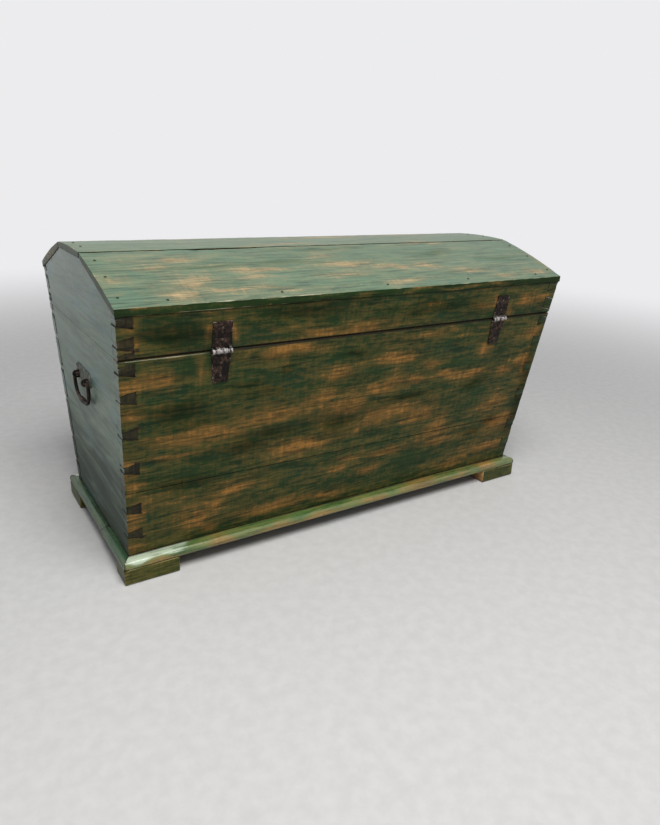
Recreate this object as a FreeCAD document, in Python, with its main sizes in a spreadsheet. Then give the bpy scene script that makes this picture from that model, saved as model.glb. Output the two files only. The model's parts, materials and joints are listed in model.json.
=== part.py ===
"""An old painted pine trunk with a domed lid, as a parametric document of separate pieces.

Millimetres, +Z up, X along the trunk, hinges on the rear (-Y), lock on the front (+Y).
The origin lies on the ground, below the middle of the trunk.
"""
import FreeCAD, Part
import math
import os
import re
import Sketcher
from FreeCAD import Placement, Rotation, Vector

doc = FreeCAD.newDocument("DomeTopTrunk")

# Driving sizes in millimetres; a share is a fraction of the height named beside it
SIZES = {
    # feet and floor
    "foot_height": 35, "foot_length": 115, "rear_foot_width": 60, "front_foot_width": 98, "foot_bevel": 3,
    "floor_thickness": 18, "floor_gap": 0.5,
    # round-nosed moulding round the floor
    "nosing_side_reach": 25, "nosing_end_reach": 18, "nosing_top_round": 11, "nosing_under_round": 4,
    "nosing_break": 69, "nosing_break_step": 1.5,
    # leaning walls: outside sizes at the floor and at the seam below the lid, thickness measured level
    "base_length": 1073, "base_depth": 413, "seam_length": 1100, "seam_depth": 550, "wall_height": 428,
    "side_thickness": 26, "end_thickness": 29,
    "rear_joint_left": 151, "rear_joint_right": 135, "front_joint_left": 201, "front_joint_right": 207,
    "board_gap": 0.8,
    # dovetails: pin heights at both ends of the taper, fit at each cheek, and places up the wall
    "pin_outer_height": 10, "pin_inner_height": 28, "pin_overrun": 6, "pin_fit": 0.2,
    "pin_proud": 0.4, "tail_proud": 0.8,
    "pin_share_one": 0.119, "pin_share_two": 0.26, "pin_share_three": 0.477,
    "pin_share_four": 0.654, "pin_share_five": 0.827, "pin_share_six": 0.955,
    "lid_pin_share_one": 0.02, "lid_pin_share_two": 0.36, "lid_pin_share_three": 0.86,
    # lid: a shallow box with three boards over it, flat inside and a little round outside
    "seam_gap": 0.5, "seam_groove": 3, "rail_height": 81,
    "dome_knee": 85, "dome_rise": 68, "dome_knee_thickness": 12, "dome_eave_thickness": 14.4,
    "dome_top_round": 3, "dome_slope_round": 4,
    "dome_eave": 3, "dome_end_overhang": 2, "dome_gap": 3.5, "dome_gap_flare": 2,
    # hinges
    "left_hinge_inset": 192, "right_hinge_inset": 182,
    "leaf_width": 40, "leaf_thickness": 2.5, "upper_leaf_length": 58, "lower_leaf_length": 66,
    "upper_leaf_end_width": 39, "lower_leaf_end_width": 31,
    "knuckle_radius": 4.8, "knuckle_length": 13, "knuckle_clearance": 0.5, "knuckle_standoff": 0.3,
    "hinge_pin_radius": 2.2, "hinge_pin_play": 0.05, "hinge_pin_head_radius": 3.6,
    "hinge_pin_head_length": 1.6,
    # nails, round-headed for the ironwork and the dome, small-headed for the mouldings
    "nail_head_radius": 2.8, "nail_head_height": 1.1, "nail_radius": 1.3, "nail_length": 24,
    "brad_head_radius": 1.9, "brad_head_height": 0.6, "brad_radius": 1, "brad_length": 38,
    "head_crown_share": 0.6, "nail_hole_play": 0.3,
    # carrying handles, one on each end
    "handle_rise": 321, "handle_plate_length": 112, "handle_plate_height": 34, "handle_plate_lift": 6,
    "handle_plate_thickness": 2.5, "handle_plate_clip": 10,
    "staple_spacing": 72, "staple_wire": 2.4, "staple_depth": 20,
    "pivot_reach": 7.6, "trunnion_play": 0.3, "trunnion_overrun": 4,
    "bail_wire": 3.9, "bail_width": 116, "bail_drop": 48, "bail_shoulder": 8, "bail_bend": 34,
    "grip_length": 46, "grip_radius": 6, "grip_sink": 0.3,
    # lock behind the front wall
    "lock_length": 90, "lock_height": 62, "lock_depth": 26, "lock_plate": 2.5, "lock_below_rim": 6,
    "bolt_length": 34, "bolt_height": 10, "bolt_width": 6, "bolt_play": 0.2, "bolt_below_rim": 19,
    "bolt_from_wall": 9, "bolt_setback": 8, "keep_wall": 3,
    "catch_length": 42, "catch_height": 34, "catch_thickness": 3, "catch_lift": 8,
    "tongue_length": 5, "tongue_margin": 3.4, "tongue_bolt_play": 0.8, "tongue_room": 5,
    "keyhole_drop": 40, "keyhole_radius": 3.5, "keyhole_slot_width": 3.4, "keyhole_slot_length": 11,
    "keyhole_bore": 7, "escutcheon_width": 34, "escutcheon_height": 52, "escutcheon_thickness": 1.6,
    "escutcheon_pin_share": 0.72,
    "screw_head_radius": 3, "screw_head_height": 1, "screw_radius": 1.5, "screw_length": 14,
}

sheet = doc.addObject("Spreadsheet::Sheet", "Sizes")
for row, (alias, size) in enumerate(SIZES.items(), start=1):
    sheet.set(f"A{row}", alias)
    sheet.set(f"B{row}", str(size))
    sheet.setAlias(f"B{row}", alias)
doc.recompute()

pieces = []


def tied(text):
    """An expression text with the sheet's name in front of each size that it uses."""
    return re.sub(r"[a-z][a-z_]*", lambda word: f"Sizes.{word[0]}" if word[0] in SIZES else word[0], text)


def number(text):
    """What an expression text comes to at the present sizes."""
    return float(sheet.evalExpression(tied(text)))


def bind(thing, sizes):
    """Ties properties of a document object to expression texts."""
    for name, text in sizes.items():
        thing.setExpression(name, tied(text))


def place(thing, x="0", y="0", z="0", axis=None, angle="0"):
    """Ties a document object's position, and its turn about one axis, to expression texts."""
    if axis is not None:
        thing.Placement = Placement(Vector(), Rotation(axis, 1))
        bind(thing, {"Placement.Rotation.Angle": angle})
    bind(thing, {"Placement.Base.x": x, "Placement.Base.y": y, "Placement.Base.z": z})
    return thing


def piece(thing, label):
    """Names a finished piece of the trunk."""
    thing.Label = label
    pieces.append(thing)
    return thing


# Primitives and booleans

def standing_block(name, low, high, low_x, low_y, high_x, high_y):
    """A block between two level rectangles, at the heights low and high."""
    block = doc.addObject("Part::Wedge", name)
    block.Placement = Placement(Vector(), Rotation(Vector(1, 0, 0), 90))
    bind(block, {"Ymin": low, "Ymax": high, "Xmin": low_x[0], "Xmax": low_x[1],
                 "X2min": high_x[0], "X2max": high_x[1],
                 "Zmin": f"-({low_y[1]})", "Zmax": f"-({low_y[0]})",
                 "Z2min": f"-({high_y[1]})", "Z2max": f"-({high_y[0]})"})
    return block


def lying_block(name, start, end, across, start_z, end_z):
    """A block that runs along X from start to end, with a height of its own at each end."""
    block = doc.addObject("Part::Wedge", name)
    block.Placement = Placement(Vector(), Rotation(Vector(0, 0, 1), -90))
    bind(block, {"Ymin": start, "Ymax": end, "Xmin": f"-({across[1]})", "Xmax": f"-({across[0]})",
                 "X2min": f"-({across[1]})", "X2max": f"-({across[0]})",
                 "Zmin": start_z[0], "Zmax": start_z[1], "Z2min": end_z[0], "Z2max": end_z[1]})
    return block


def box(name, x, y, z):
    """A square block between two places along each axis."""
    block = doc.addObject("Part::Box", name)
    bind(block, {"Length": f"({x[1]}) - ({x[0]})", "Width": f"({y[1]}) - ({y[0]})",
                 "Height": f"({z[1]}) - ({z[0]})"})
    return place(block, x[0], y[0], z[0])


TURNS = {"X": (Vector(0, 1, 0), "90"), "Y": (Vector(1, 0, 0), "-90"), "Z": (None, "0")}


def rod(name, along, start, radius, length):
    """A round rod that runs from a start point along one axis."""
    bar = doc.addObject("Part::Cylinder", name)
    bind(bar, {"Radius": radius, "Height": length})
    return place(bar, *start, *TURNS[along])


def fuse(name, *shapes):
    joined = doc.addObject("Part::MultiFuse", name)
    joined.Shapes = list(shapes)
    return joined


def common(name, *shapes):
    shared = doc.addObject("Part::MultiCommon", name)
    shared.Shapes = list(shapes)
    return shared


def cut(name, base, *tools):
    remainder = doc.addObject("Part::Cut", name)
    remainder.Base = base
    remainder.Tool = tools[0] if len(tools) == 1 else fuse(f"{name}_tools", *tools)
    return remainder


# Sketched bodies

def sketch_on(body, name, plane):
    """An empty sketch on one of a body's own origin planes."""
    sketch = body.newObject("Sketcher::SketchObject", name)
    support = next(part for part in body.Origin.OriginFeatures if part.Role == plane)
    sketch.AttachmentSupport = [(support, "")]
    sketch.MapMode = "FlatFace"
    return sketch


def pin_point(sketch, index, end, x, y):
    """Ties one end of a sketched edge to a place given by expression texts."""
    for kind, text in (("DistanceX", x), ("DistanceY", y)):
        rule = sketch.addConstraint(Sketcher.Constraint(kind, -1, 1, index, end, number(text)))
        sketch.setExpression(f"Constraints[{rule}]", tied(text))


def draw_path(sketch, points, closed=True):
    """Draws lines and arcs through points (x, y), or (x, y, radius, centre) where an arc starts."""
    spots = [Vector(number(point[0]), number(point[1]), 0) for point in points]
    count = len(points) if closed else len(points) - 1
    ends = []
    for i in range(count):
        here, there = spots[i], spots[(i + 1) % len(spots)]
        if len(points[i]) == 2:
            index = sketch.addGeometry(Part.LineSegment(here, there))
            ends.append((index, 1, 2))
            continue
        radius, centre = points[i][2:]
        middle = Vector(number(centre[0]), number(centre[1]), 0)
        first, second = here - middle, there - middle
        left_turn = first.cross(second).z > 0
        start, stop = (first, second) if left_turn else (second, first)
        circle = Part.Circle(middle, Vector(0, 0, 1), first.Length)
        arc = Part.ArcOfCircle(circle, math.atan2(start.y, start.x), math.atan2(stop.y, stop.x))
        index = sketch.addGeometry(arc)
        ends.append((index, 1, 2) if left_turn else (index, 2, 1))
        rule = sketch.addConstraint(Sketcher.Constraint("Radius", index, first.Length))
        sketch.setExpression(f"Constraints[{rule}]", tied(radius))
    for i, (index, start, stop) in enumerate(ends):
        pin_point(sketch, index, start, *points[i][:2])
        follower = ends[(i + 1) % len(ends)]
        if closed or i + 1 < count:
            sketch.addConstraint(Sketcher.Constraint("Coincident", index, stop, follower[0], follower[1]))
        else:
            pin_point(sketch, index, stop, *points[-1][:2])


def pad(body, name, plane, points, length, midplane=False, backwards=False):
    """Pads an outline drawn on one of the body's planes."""
    sketch = sketch_on(body, f"{name}_outline", plane)
    draw_path(sketch, points)
    feature = body.newObject("PartDesign::Pad", name)
    feature.Profile = sketch
    feature.Midplane = midplane
    feature.Reversed = backwards
    bind(feature, {"Length": length})
    return feature


def new_body(name):
    return doc.addObject("PartDesign::Body", name)


# Heights and the lean of the walls

FLOOR_TOP = "(foot_height + floor_thickness)"
RIM = f"({FLOOR_TOP} + wall_height)"
LID_BASE = f"({RIM} + seam_gap)"
SEAM = f"({RIM} + seam_gap/2)"
RAIL_TOP = f"({LID_BASE} + rail_height)"
INNER_TOP = f"({RAIL_TOP} + dome_rise)"
KNEE_TOP = f"({INNER_TOP} + dome_knee_thickness)"
EAVE_TOP = f"({RAIL_TOP} + dome_eave_thickness)"
APEX = f"({KNEE_TOP} + dome_top_round)"
SIDE_SLOPE = "((seam_depth - base_depth)/2/wall_height)"
END_SLOPE = "((seam_length - base_length)/2/wall_height)"
SIDE_ANGLE = f"atan({SIDE_SLOPE})"
END_ANGLE = f"atan({END_SLOPE})"
DEEPEST = "max(seam_depth; base_depth)"
X_AXIS = Vector(1, 0, 0)
Y_AXIS = Vector(0, 1, 0)
SIDES = {"rear": "-1", "front": "1"}
ENDS = {"left": "-1", "right": "1"}


def half_length(height):
    """Half the outside length of the leaning box at a height."""
    return f"(base_length/2 + {END_SLOPE}*({height} - {FLOOR_TOP}))"


def half_depth(height):
    """Half the outside depth of the leaning box at a height."""
    return f"(base_depth/2 + {SIDE_SLOPE}*({height} - {FLOOR_TOP}))"


def span(sign, inner, outer):
    """The range between two distances from the middle, on the side that the sign names."""
    near, far = f"{sign}*({inner})", f"{sign}*({outer})"
    return (near, far) if sign == "1" else (far, near)


def both_ways(half):
    return (f"-({half})", half)


# Leaning walls joined by dovetails

def side_slab(name, sign, low, high, outward, lengthwise):
    """A long wall's slab, grown outward and lengthwise by the sizes given."""
    ranges = []
    for height in (low, high):
        depth = half_depth(height)
        ranges.append(both_ways(f"{half_length(height)} + {lengthwise}"))
        ranges.append(span(sign, f"{depth} - side_thickness", f"{depth} + {outward}"))
    return standing_block(name, low, high, *ranges)


def end_slab(name, sign, low, high, outward, sideways):
    """An end wall's slab over the full depth of the trunk, grown by the sizes given."""
    ranges = []
    for height in (low, high):
        length = half_length(height)
        ranges.append(span(sign, f"{length} - end_thickness", f"{length} + {outward}"))
        ranges.append(both_ways(f"{half_depth(height)} + {sideways}"))
    return standing_block(name, low, high, *ranges)


def pin_bars(name, sign, low, rise, shares, fit):
    """Bars across the trunk that thicken inward, one for each dovetail pin of an end wall."""
    across = both_ways(f"{DEEPEST}/2 + rail_height")
    bars = []
    for count, share in enumerate(shares):
        middle = f"({low} + {share}*{rise})"
        outer = f"{sign}*({half_length(middle)} + pin_overrun)"
        inner = f"{sign}*({half_length(middle)} - end_thickness - pin_overrun)"
        narrow = (f"{middle} - pin_outer_height/2 - {fit}", f"{middle} + pin_outer_height/2 + {fit}")
        wide = (f"{middle} - pin_inner_height/2 - {fit}", f"{middle} + pin_inner_height/2 + {fit}")
        if sign == "1":
            bars.append(lying_block(f"{name}_{count}", inner, outer, across, wide, narrow))
        else:
            bars.append(lying_block(f"{name}_{count}", outer, inner, across, narrow, wide))
    return fuse(name, *bars)


def dovetailed_box(name, low, high, rise, shares):
    """The four walls of a leaning box: long walls with tails, end walls with the pins between them."""
    sockets = []
    pins = {}
    for end, sign in ENDS.items():
        slab = end_slab(f"{name}_{end}_socket_slab", sign, low, high, "pin_overrun", "pin_overrun")
        bars = pin_bars(f"{name}_{end}_socket_bars", sign, low, rise, shares, "pin_fit")
        sockets.append(common(f"{name}_{end}_sockets", slab, bars))
        pins[end] = pin_bars(f"{name}_{end}_pin_bars", sign, low, rise, shares, "0")
    long_walls = {}
    tails = []
    for side, sign in SIDES.items():
        slab = side_slab(f"{name}_{side}_slab", sign, low, high, "0", "tail_proud")
        long_walls[side] = cut(f"{name}_{side}_tails", slab, *sockets)
        tails.append(side_slab(f"{name}_{side}_tail_slab", sign, low, high, "pin_overrun", "pin_overrun"))
    end_walls = {}
    for end, sign in ENDS.items():
        between_pins = cut(f"{name}_{end}_between_pins", fuse(f"{name}_{end}_tail_slabs", *tails), pins[end])
        slab = end_slab(f"{name}_{end}_slab", sign, low, high, "0", "pin_proud")
        end_walls[end] = cut(f"{name}_{end}_pins", slab, between_pins)
    return long_walls, end_walls


def seam_grooves():
    """Square bars on edge along the long sides of the seam: they leave the groove between chest and lid."""
    side = "(seam_groove*sqrt(2))"
    bars = []
    for name, sign in SIDES.items():
        bar = doc.addObject("Part::Box", f"{name}_seam_bar")
        bind(bar, {"Length": "seam_length + 4*pin_overrun", "Width": side, "Height": side})
        bars.append(place(bar, "-(seam_length/2 + 2*pin_overrun)", f"{sign}*{half_depth(SEAM)}",
                          f"{SEAM} - seam_groove", X_AXIS, "45"))
    return fuse("seam_grooves", *bars)


def chest_walls(grooves, keyhole):
    """Four walls; each long one is two boards with a joint that falls or rises a little."""
    shares = [f"pin_share_{word}" for word in ("one", "two", "three", "four", "five", "six")]
    long_walls, end_walls = dovetailed_box("chest", FLOOR_TOP, RIM, "wall_height", shares)
    reach = "(max(seam_length; base_length)/2 + pin_overrun)"
    across = both_ways(f"{DEEPEST}/2 + pin_overrun")
    for side, wall in long_walls.items():
        left, right = (f"({FLOOR_TOP} + {side}_joint_{end})" for end in ENDS)
        below = lying_block(f"below_{side}_joint", f"-{reach}", reach, across,
                            (FLOOR_TOP, f"{left} - board_gap/2"), (FLOOR_TOP, f"{right} - board_gap/2"))
        above = lying_block(f"above_{side}_joint", f"-{reach}", reach, across,
                            (f"{left} + board_gap/2", RIM), (f"{right} + board_gap/2", RIM))
        openings = [grooves, keyhole] if side == "front" else [grooves]
        upper = common(f"{side}_upper_half", wall, above)
        piece(cut(f"{side}_upper_board", upper, *openings), f"{side}_wall_upper_board")
        piece(common(f"{side}_lower_board", wall, below), f"{side}_wall_lower_board")
    for end, wall in end_walls.items():
        piece(cut(f"{end}_panel", wall, grooves), f"{end}_end_panel")


# Floor, moulding and feet

def floor_boards():
    """Three boards under the walls, running the length of the trunk."""
    width = "((base_depth - 2*floor_gap)/3)"
    for count, name in enumerate(("rear", "middle", "front")):
        start = f"(-base_depth/2 + {count}*({width} + floor_gap))"
        board = box(f"floor_{name}", both_ways("base_length/2"), (start, f"{start} + {width}"),
                    ("foot_height", FLOOR_TOP))
        piece(board, f"floor_board_{name}")


def nosing_section(inner, outer):
    """The moulding's section: flat against the floor, with a large round over a small one."""
    top_start = f"{outer} - nosing_top_round"
    under_start = f"{outer} - nosing_under_round"
    top_level = f"{FLOOR_TOP} - nosing_top_round"
    under_level = "foot_height + nosing_under_round"
    return [(inner, "foot_height"),
            (under_start, "foot_height", "nosing_under_round", (under_start, under_level)),
            (outer, under_level),
            (outer, top_level, "nosing_top_round", (top_start, top_level)),
            (top_start, FLOOR_TOP),
            (inner, FLOOR_TOP)]


def nosing_mitre(name, corners):
    """An upright block over one length of moulding, seen from above as the four corners given."""
    body = new_body(name)
    pad(body, f"{name}_pad", "XY_Plane", corners, f"2*{FLOOR_TOP}")
    return body


def nosings():
    """The moulding, mitred at the corners; its left run is two lengths that butt together."""
    inner_x, inner_y = "(base_length/2)", "(base_depth/2)"
    outer_x = "(base_length/2 + nosing_end_reach)"
    outer_y = "(base_depth/2 + nosing_side_reach)"
    for side, sign in SIDES.items():
        bar = new_body(f"{side}_nosing_bar")
        section = nosing_section(inner_y, outer_y)
        pad(bar, f"{side}_nosing_pad", "YZ_Plane", section, f"2*{outer_x}", midplane=True)
        if side == "rear":
            bar.Placement = Placement(Vector(), Rotation(Vector(0, 0, 1), 180))
        corners = [(f"-{inner_x}", f"{sign}*{inner_y}"), (inner_x, f"{sign}*{inner_y}"),
                   (outer_x, f"{sign}*{outer_y}"), (f"-{outer_x}", f"{sign}*{outer_y}")]
        piece(common(f"{side}_nosing_run", bar, nosing_mitre(f"{side}_mitre", corners)), f"{side}_nosing")
    lengths = {"left_nosing_rear": ("left", "-1", f"-{inner_y}", "-nosing_break", "nosing_break_step"),
               "left_nosing_front": ("left", "-1", "-nosing_break", inner_y, "0"),
               "right_nosing": ("right", "1", f"-{inner_y}", inner_y, "0")}
    for label, (end, sign, start, stop, step) in lengths.items():
        outer = f"({outer_x} + {step})"
        bar = new_body(f"{label}_bar")
        section = nosing_section(inner_x, outer)
        pad(bar, f"{label}_pad", "XZ_Plane", section, f"2*{outer_y}", midplane=True)
        if end == "left":
            bar.Placement = Placement(Vector(), Rotation(Vector(0, 0, 1), 180))
        run_on = f"(nosing_side_reach/nosing_end_reach*({outer} - {inner_x}))"
        outer_start = f"{start} - {run_on}" if start == f"-{inner_y}" else start
        outer_stop = f"{stop} + {run_on}" if stop == inner_y else stop
        corners = [(f"{sign}*{inner_x}", start), (f"{sign}*{outer}", outer_start),
                   (f"{sign}*{outer}", outer_stop), (f"{sign}*{inner_x}", stop)]
        piece(common(f"{label}_run", bar, nosing_mitre(f"{label}_mitre", corners)), label)


def feet():
    """Four corner blocks under the floor and its moulding, bevelled round the ground."""
    outer_x = "(base_length/2 + nosing_end_reach)"
    outer_y = "(base_depth/2 + nosing_side_reach)"
    for side, side_sign in SIDES.items():
        for end, end_sign in ENDS.items():
            x = span(end_sign, f"{outer_x} - foot_length", outer_x)
            y = span(side_sign, f"{outer_y} - {side}_foot_width", outer_y)
            block = box(f"{side}_{end}_foot_block", x, y, ("foot_bevel", "foot_height"))
            sole_x = (f"{x[0]} + foot_bevel", f"{x[1]} - foot_bevel")
            sole_y = (f"{y[0]} + foot_bevel", f"{y[1]} - foot_bevel")
            sole = standing_block(f"{side}_{end}_foot_sole", "0", "foot_bevel", sole_x, sole_y, x, y)
            piece(fuse(f"{side}_{end}_foot_solid", block, sole), f"{side}_{end}_foot")


# Lid

def facet(distance):
    """Height of the dome boards' flat inner face at a distance from the middle."""
    slope = f"(({INNER_TOP} - {RAIL_TOP})/({half_depth(RAIL_TOP)} - dome_knee))"
    return f"({INNER_TOP} - {slope}*({distance} - dome_knee))"


TOP_RADIUS = "(dome_knee^2/(2*dome_top_round) + dome_top_round/2)"
TOP_CENTRE = ("0", f"{APEX} - {TOP_RADIUS}")
SLOPE_RUN = f"({half_depth(RAIL_TOP)} - dome_knee)"
SLOPE_FALL = f"({KNEE_TOP} - {EAVE_TOP})"
SLOPE_CHORD = f"sqrt({SLOPE_RUN}^2 + {SLOPE_FALL}^2)"
SLOPE_RADIUS = f"({SLOPE_CHORD}^2/(8*dome_slope_round) + dome_slope_round/2)"
SLOPE_SINK = f"(({SLOPE_RADIUS} - dome_slope_round)/{SLOPE_CHORD})"
SLOPE_CENTRE = (f"(dome_knee + {SLOPE_RUN}/2 - {SLOPE_SINK}*{SLOPE_FALL})",
                f"({KNEE_TOP} - {SLOPE_FALL}/2 - {SLOPE_SINK}*{SLOPE_RUN})")


def top_crown(distance):
    """Height of the top board's outside at a distance from the middle."""
    return f"({APEX} - {TOP_RADIUS} + sqrt({TOP_RADIUS}^2 - ({distance})^2))"


def slope_crown(distance):
    """Height of a sloping board's outside at a distance from the middle."""
    y, z = SLOPE_CENTRE
    return f"({z} + sqrt({SLOPE_RADIUS}^2 - ({distance} - {y})^2))"


def lid_walls(grooves):
    """Rails and end panels of the lid, cut to the dome boards' inner faces along the top."""
    shares = [f"lid_pin_share_{word}" for word in ("one", "two", "three")]
    long_walls, end_walls = dovetailed_box("lid", LID_BASE, INNER_TOP, "rail_height", shares)
    reach = f"({DEEPEST}/2 + rail_height)"
    outline = [(f"-{reach}", "0"), (reach, "0"), (reach, facet(reach)), ("dome_knee", INNER_TOP),
               ("-dome_knee", INNER_TOP), (f"-{reach}", facet(reach))]
    section = new_body("under_dome")
    pad(section, "under_dome_pad", "YZ_Plane", outline, "2*seam_length", midplane=True)
    for side, wall in long_walls.items():
        rail = common(f"lid_{side}_under_dome", wall, section)
        piece(cut(f"lid_{side}_rail_solid", rail, grooves), f"lid_{side}_rail")
    for end, wall in end_walls.items():
        panel = common(f"lid_{end}_under_dome", wall, section)
        piece(cut(f"lid_{end}_end_solid", panel, grooves), f"lid_{end}_end")


def dome_boards():
    """Three boards: flat inside, a little round outside, with open joints at the knees between them."""
    ends = []
    for height in (LID_BASE, APEX):
        ends.append(both_ways(f"{half_length(height)} + dome_end_overhang"))
        ends.append(both_ways("seam_depth"))
    trim = standing_block("dome_trim", LID_BASE, APEX, *ends)
    eave = f"({half_depth(RAIL_TOP)} + dome_eave)"
    inner = "(dome_knee + dome_gap/2)"
    outer = "(dome_knee + dome_gap/2 + dome_gap_flare)"
    for side, sign in SIDES.items():
        outline = [(f"{sign}*{eave}", facet(eave)),
                   (f"{sign}*{eave}", slope_crown(eave), SLOPE_RADIUS,
                    (f"{sign}*{SLOPE_CENTRE[0]}", SLOPE_CENTRE[1])),
                   (f"{sign}*{outer}", slope_crown(outer)),
                   (f"{sign}*{inner}", facet(inner))]
        body = new_body(f"dome_{side}_blank")
        pad(body, f"dome_{side}_pad", "YZ_Plane", outline, "2*seam_length", midplane=True)
        piece(common(f"dome_{side}_cut", body, trim), f"dome_{side}_board")
    inner = "(dome_knee - dome_gap/2)"
    outer = "(dome_knee - dome_gap/2 + dome_gap_flare)"
    outline = [(f"-{inner}", INNER_TOP), (inner, INNER_TOP),
               (outer, top_crown(outer), TOP_RADIUS, TOP_CENTRE), (f"-{outer}", top_crown(outer))]
    body = new_body("dome_top_blank")
    pad(body, "dome_top_pad", "YZ_Plane", outline, "2*seam_length", midplane=True)
    piece(common("dome_top_cut", body, trim), "dome_top_board")


# Places on leaning faces

def on_side(turn, origin_y, origin_z, y, z):
    """Y and Z of a point in a frame that is turned about X, with its origin on a long wall."""
    return (f"({origin_y} + ({y})*cos({turn}) - ({z})*sin({turn}))",
            f"({origin_z} + ({y})*sin({turn}) + ({z})*cos({turn}))")


def on_end(turn, origin_x, origin_z, x, z):
    """X and Z of a point in a frame that is turned about Y, with its origin on an end wall."""
    return (f"({origin_x} + ({x})*cos({turn}) + ({z})*sin({turn}))",
            f"({origin_z} - ({x})*sin({turn}) + ({z})*cos({turn}))")


# Nails and screws

NAIL = ("nail_head_radius", "nail_head_height", "nail_radius", "nail_length")
BRAD = ("brad_head_radius", "brad_head_height", "brad_radius", "brad_length")
SCREW = ("screw_head_radius", "screw_head_height", "screw_radius", "screw_length")
PIN = ("brad_head_radius", "brad_head_height", "brad_radius", "screw_length")


def nail(kind, spot, axis=None, angle="0"):
    """A head on a surface and a shank below it; the head's outward direction is +Z, turned."""
    head_radius, head_height, radius, length = kind
    head = doc.addObject("Part::Cone", "nail_head")
    bind(head, {"Radius1": head_radius, "Radius2": f"{head_radius}*head_crown_share", "Height": head_height})
    shank = rod("nail_shank", "Z", ("0", "0", f"-{length}"), radius, length)
    return place(fuse("nail", head, shank), *spot, axis, angle)


def group(label, shapes):
    """One node of like pieces that stay separate solids."""
    bunch = doc.addObject("Part::Compound", f"{label}_bunch")
    bunch.Links = shapes
    return piece(bunch, label)


def dome_nails():
    """Nails through the ends of all three dome boards, and along both eaves into the rails."""
    top_shares = (-0.3, 0.4)
    slope_shares = (0.2, 0.52, 0.86)
    eave_shares = (-0.83, -0.42, 0.04, 0.46, 0.87)
    nails = []
    slope_spots = []
    for end_sign in ENDS.values():
        x = f"{end_sign}*({half_length(RAIL_TOP)} - end_thickness/2)"
        for share in top_shares:
            y = f"({share}*dome_knee)"
            nails.append(nail(NAIL, (x, y, top_crown(y)), X_AXIS, f"-asin({y}/{TOP_RADIUS})"))
        for share in slope_shares:
            slope_spots.append((x, f"(dome_knee + {share}*{SLOPE_RUN})"))
    for share in eave_shares:
        slope_spots.append((f"{share}*seam_length/2", f"({half_depth(RAIL_TOP)} - side_thickness/2)"))
    for sign in SIDES.values():
        for x, distance in slope_spots:
            tilt = f"-{sign}*asin(({distance} - {SLOPE_CENTRE[0]})/{SLOPE_RADIUS})"
            nails.append(nail(NAIL, (x, f"{sign}*{distance}", slope_crown(distance)), X_AXIS, tilt))
    group("dome_nails", nails)


def floor_nails():
    """Nails driven up through the floor boards into all four walls, between the feet."""
    side_shares = (-0.7, -0.35, 0, 0.35, 0.7)
    end_shares = (-0.48, 0, 0.48)
    nails = []
    for sign in SIDES.values():
        for share in side_shares:
            spot = (f"{share}*base_length/2", f"{sign}*(base_depth - side_thickness)/2", "foot_height")
            nails.append(nail(BRAD, spot, X_AXIS, "180"))
    for sign in ENDS.values():
        for share in end_shares:
            spot = (f"{sign}*(base_length - end_thickness)/2", f"{share}*base_depth/2", "foot_height")
            nails.append(nail(BRAD, spot, X_AXIS, "180"))
    group("floor_nails", nails)


def nosing_nails():
    """Brads through the nose of the moulding into the floor's edges, flush with the nose."""
    level = f"({FLOOR_TOP} - nosing_top_round - brad_head_radius/2)"
    side_shares = (-0.84, -0.5, -0.16, 0.18, 0.52, 0.86)
    nails = []
    for sign in SIDES.values():
        for share in side_shares:
            y = f"{sign}*(base_depth/2 + nosing_side_reach - brad_head_height)"
            nails.append(nail(BRAD, (f"{share}*base_length/2", y, level), X_AXIS, f"-{sign}*90"))
    runs = {"left": ((-0.78, "nosing_break_step"), (-0.58, "nosing_break_step"), (-0.1, "0"), (0.7, "0")),
            "right": ((-0.7, "0"), (-0.2, "0"), (0.3, "0"), (0.75, "0"))}
    for end, spots in runs.items():
        for share, step in spots:
            x = f"{ENDS[end]}*(base_length/2 + nosing_end_reach + {step} - brad_head_height)"
            nails.append(nail(BRAD, (x, f"{share}*base_depth/2", level), Y_AXIS, f"{ENDS[end]}*90"))
    group("nosing_nails", nails)


def foot_nails():
    """Two brads from inside the chest through the floor into each foot."""
    y = "(base_depth/2 - side_thickness - 2*brad_head_radius)"
    foot_shares = (0.15, 0.45)
    nails = []
    for side_sign in SIDES.values():
        for end_sign in ENDS.values():
            for share in foot_shares:
                x = f"(base_length/2 - end_thickness - {share}*foot_length)"
                nails.append(nail(BRAD, (f"{end_sign}*{x}", f"{side_sign}*{y}", FLOOR_TOP)))
    group("foot_nails", nails)


# Hinges

KNUCKLE_REACH = "(knuckle_radius + knuckle_standoff)"
KNUCKLE_EDGE = "(knuckle_radius + knuckle_clearance)"
LEAF_NAIL_SHARES = (0.38, 0.78)


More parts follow.
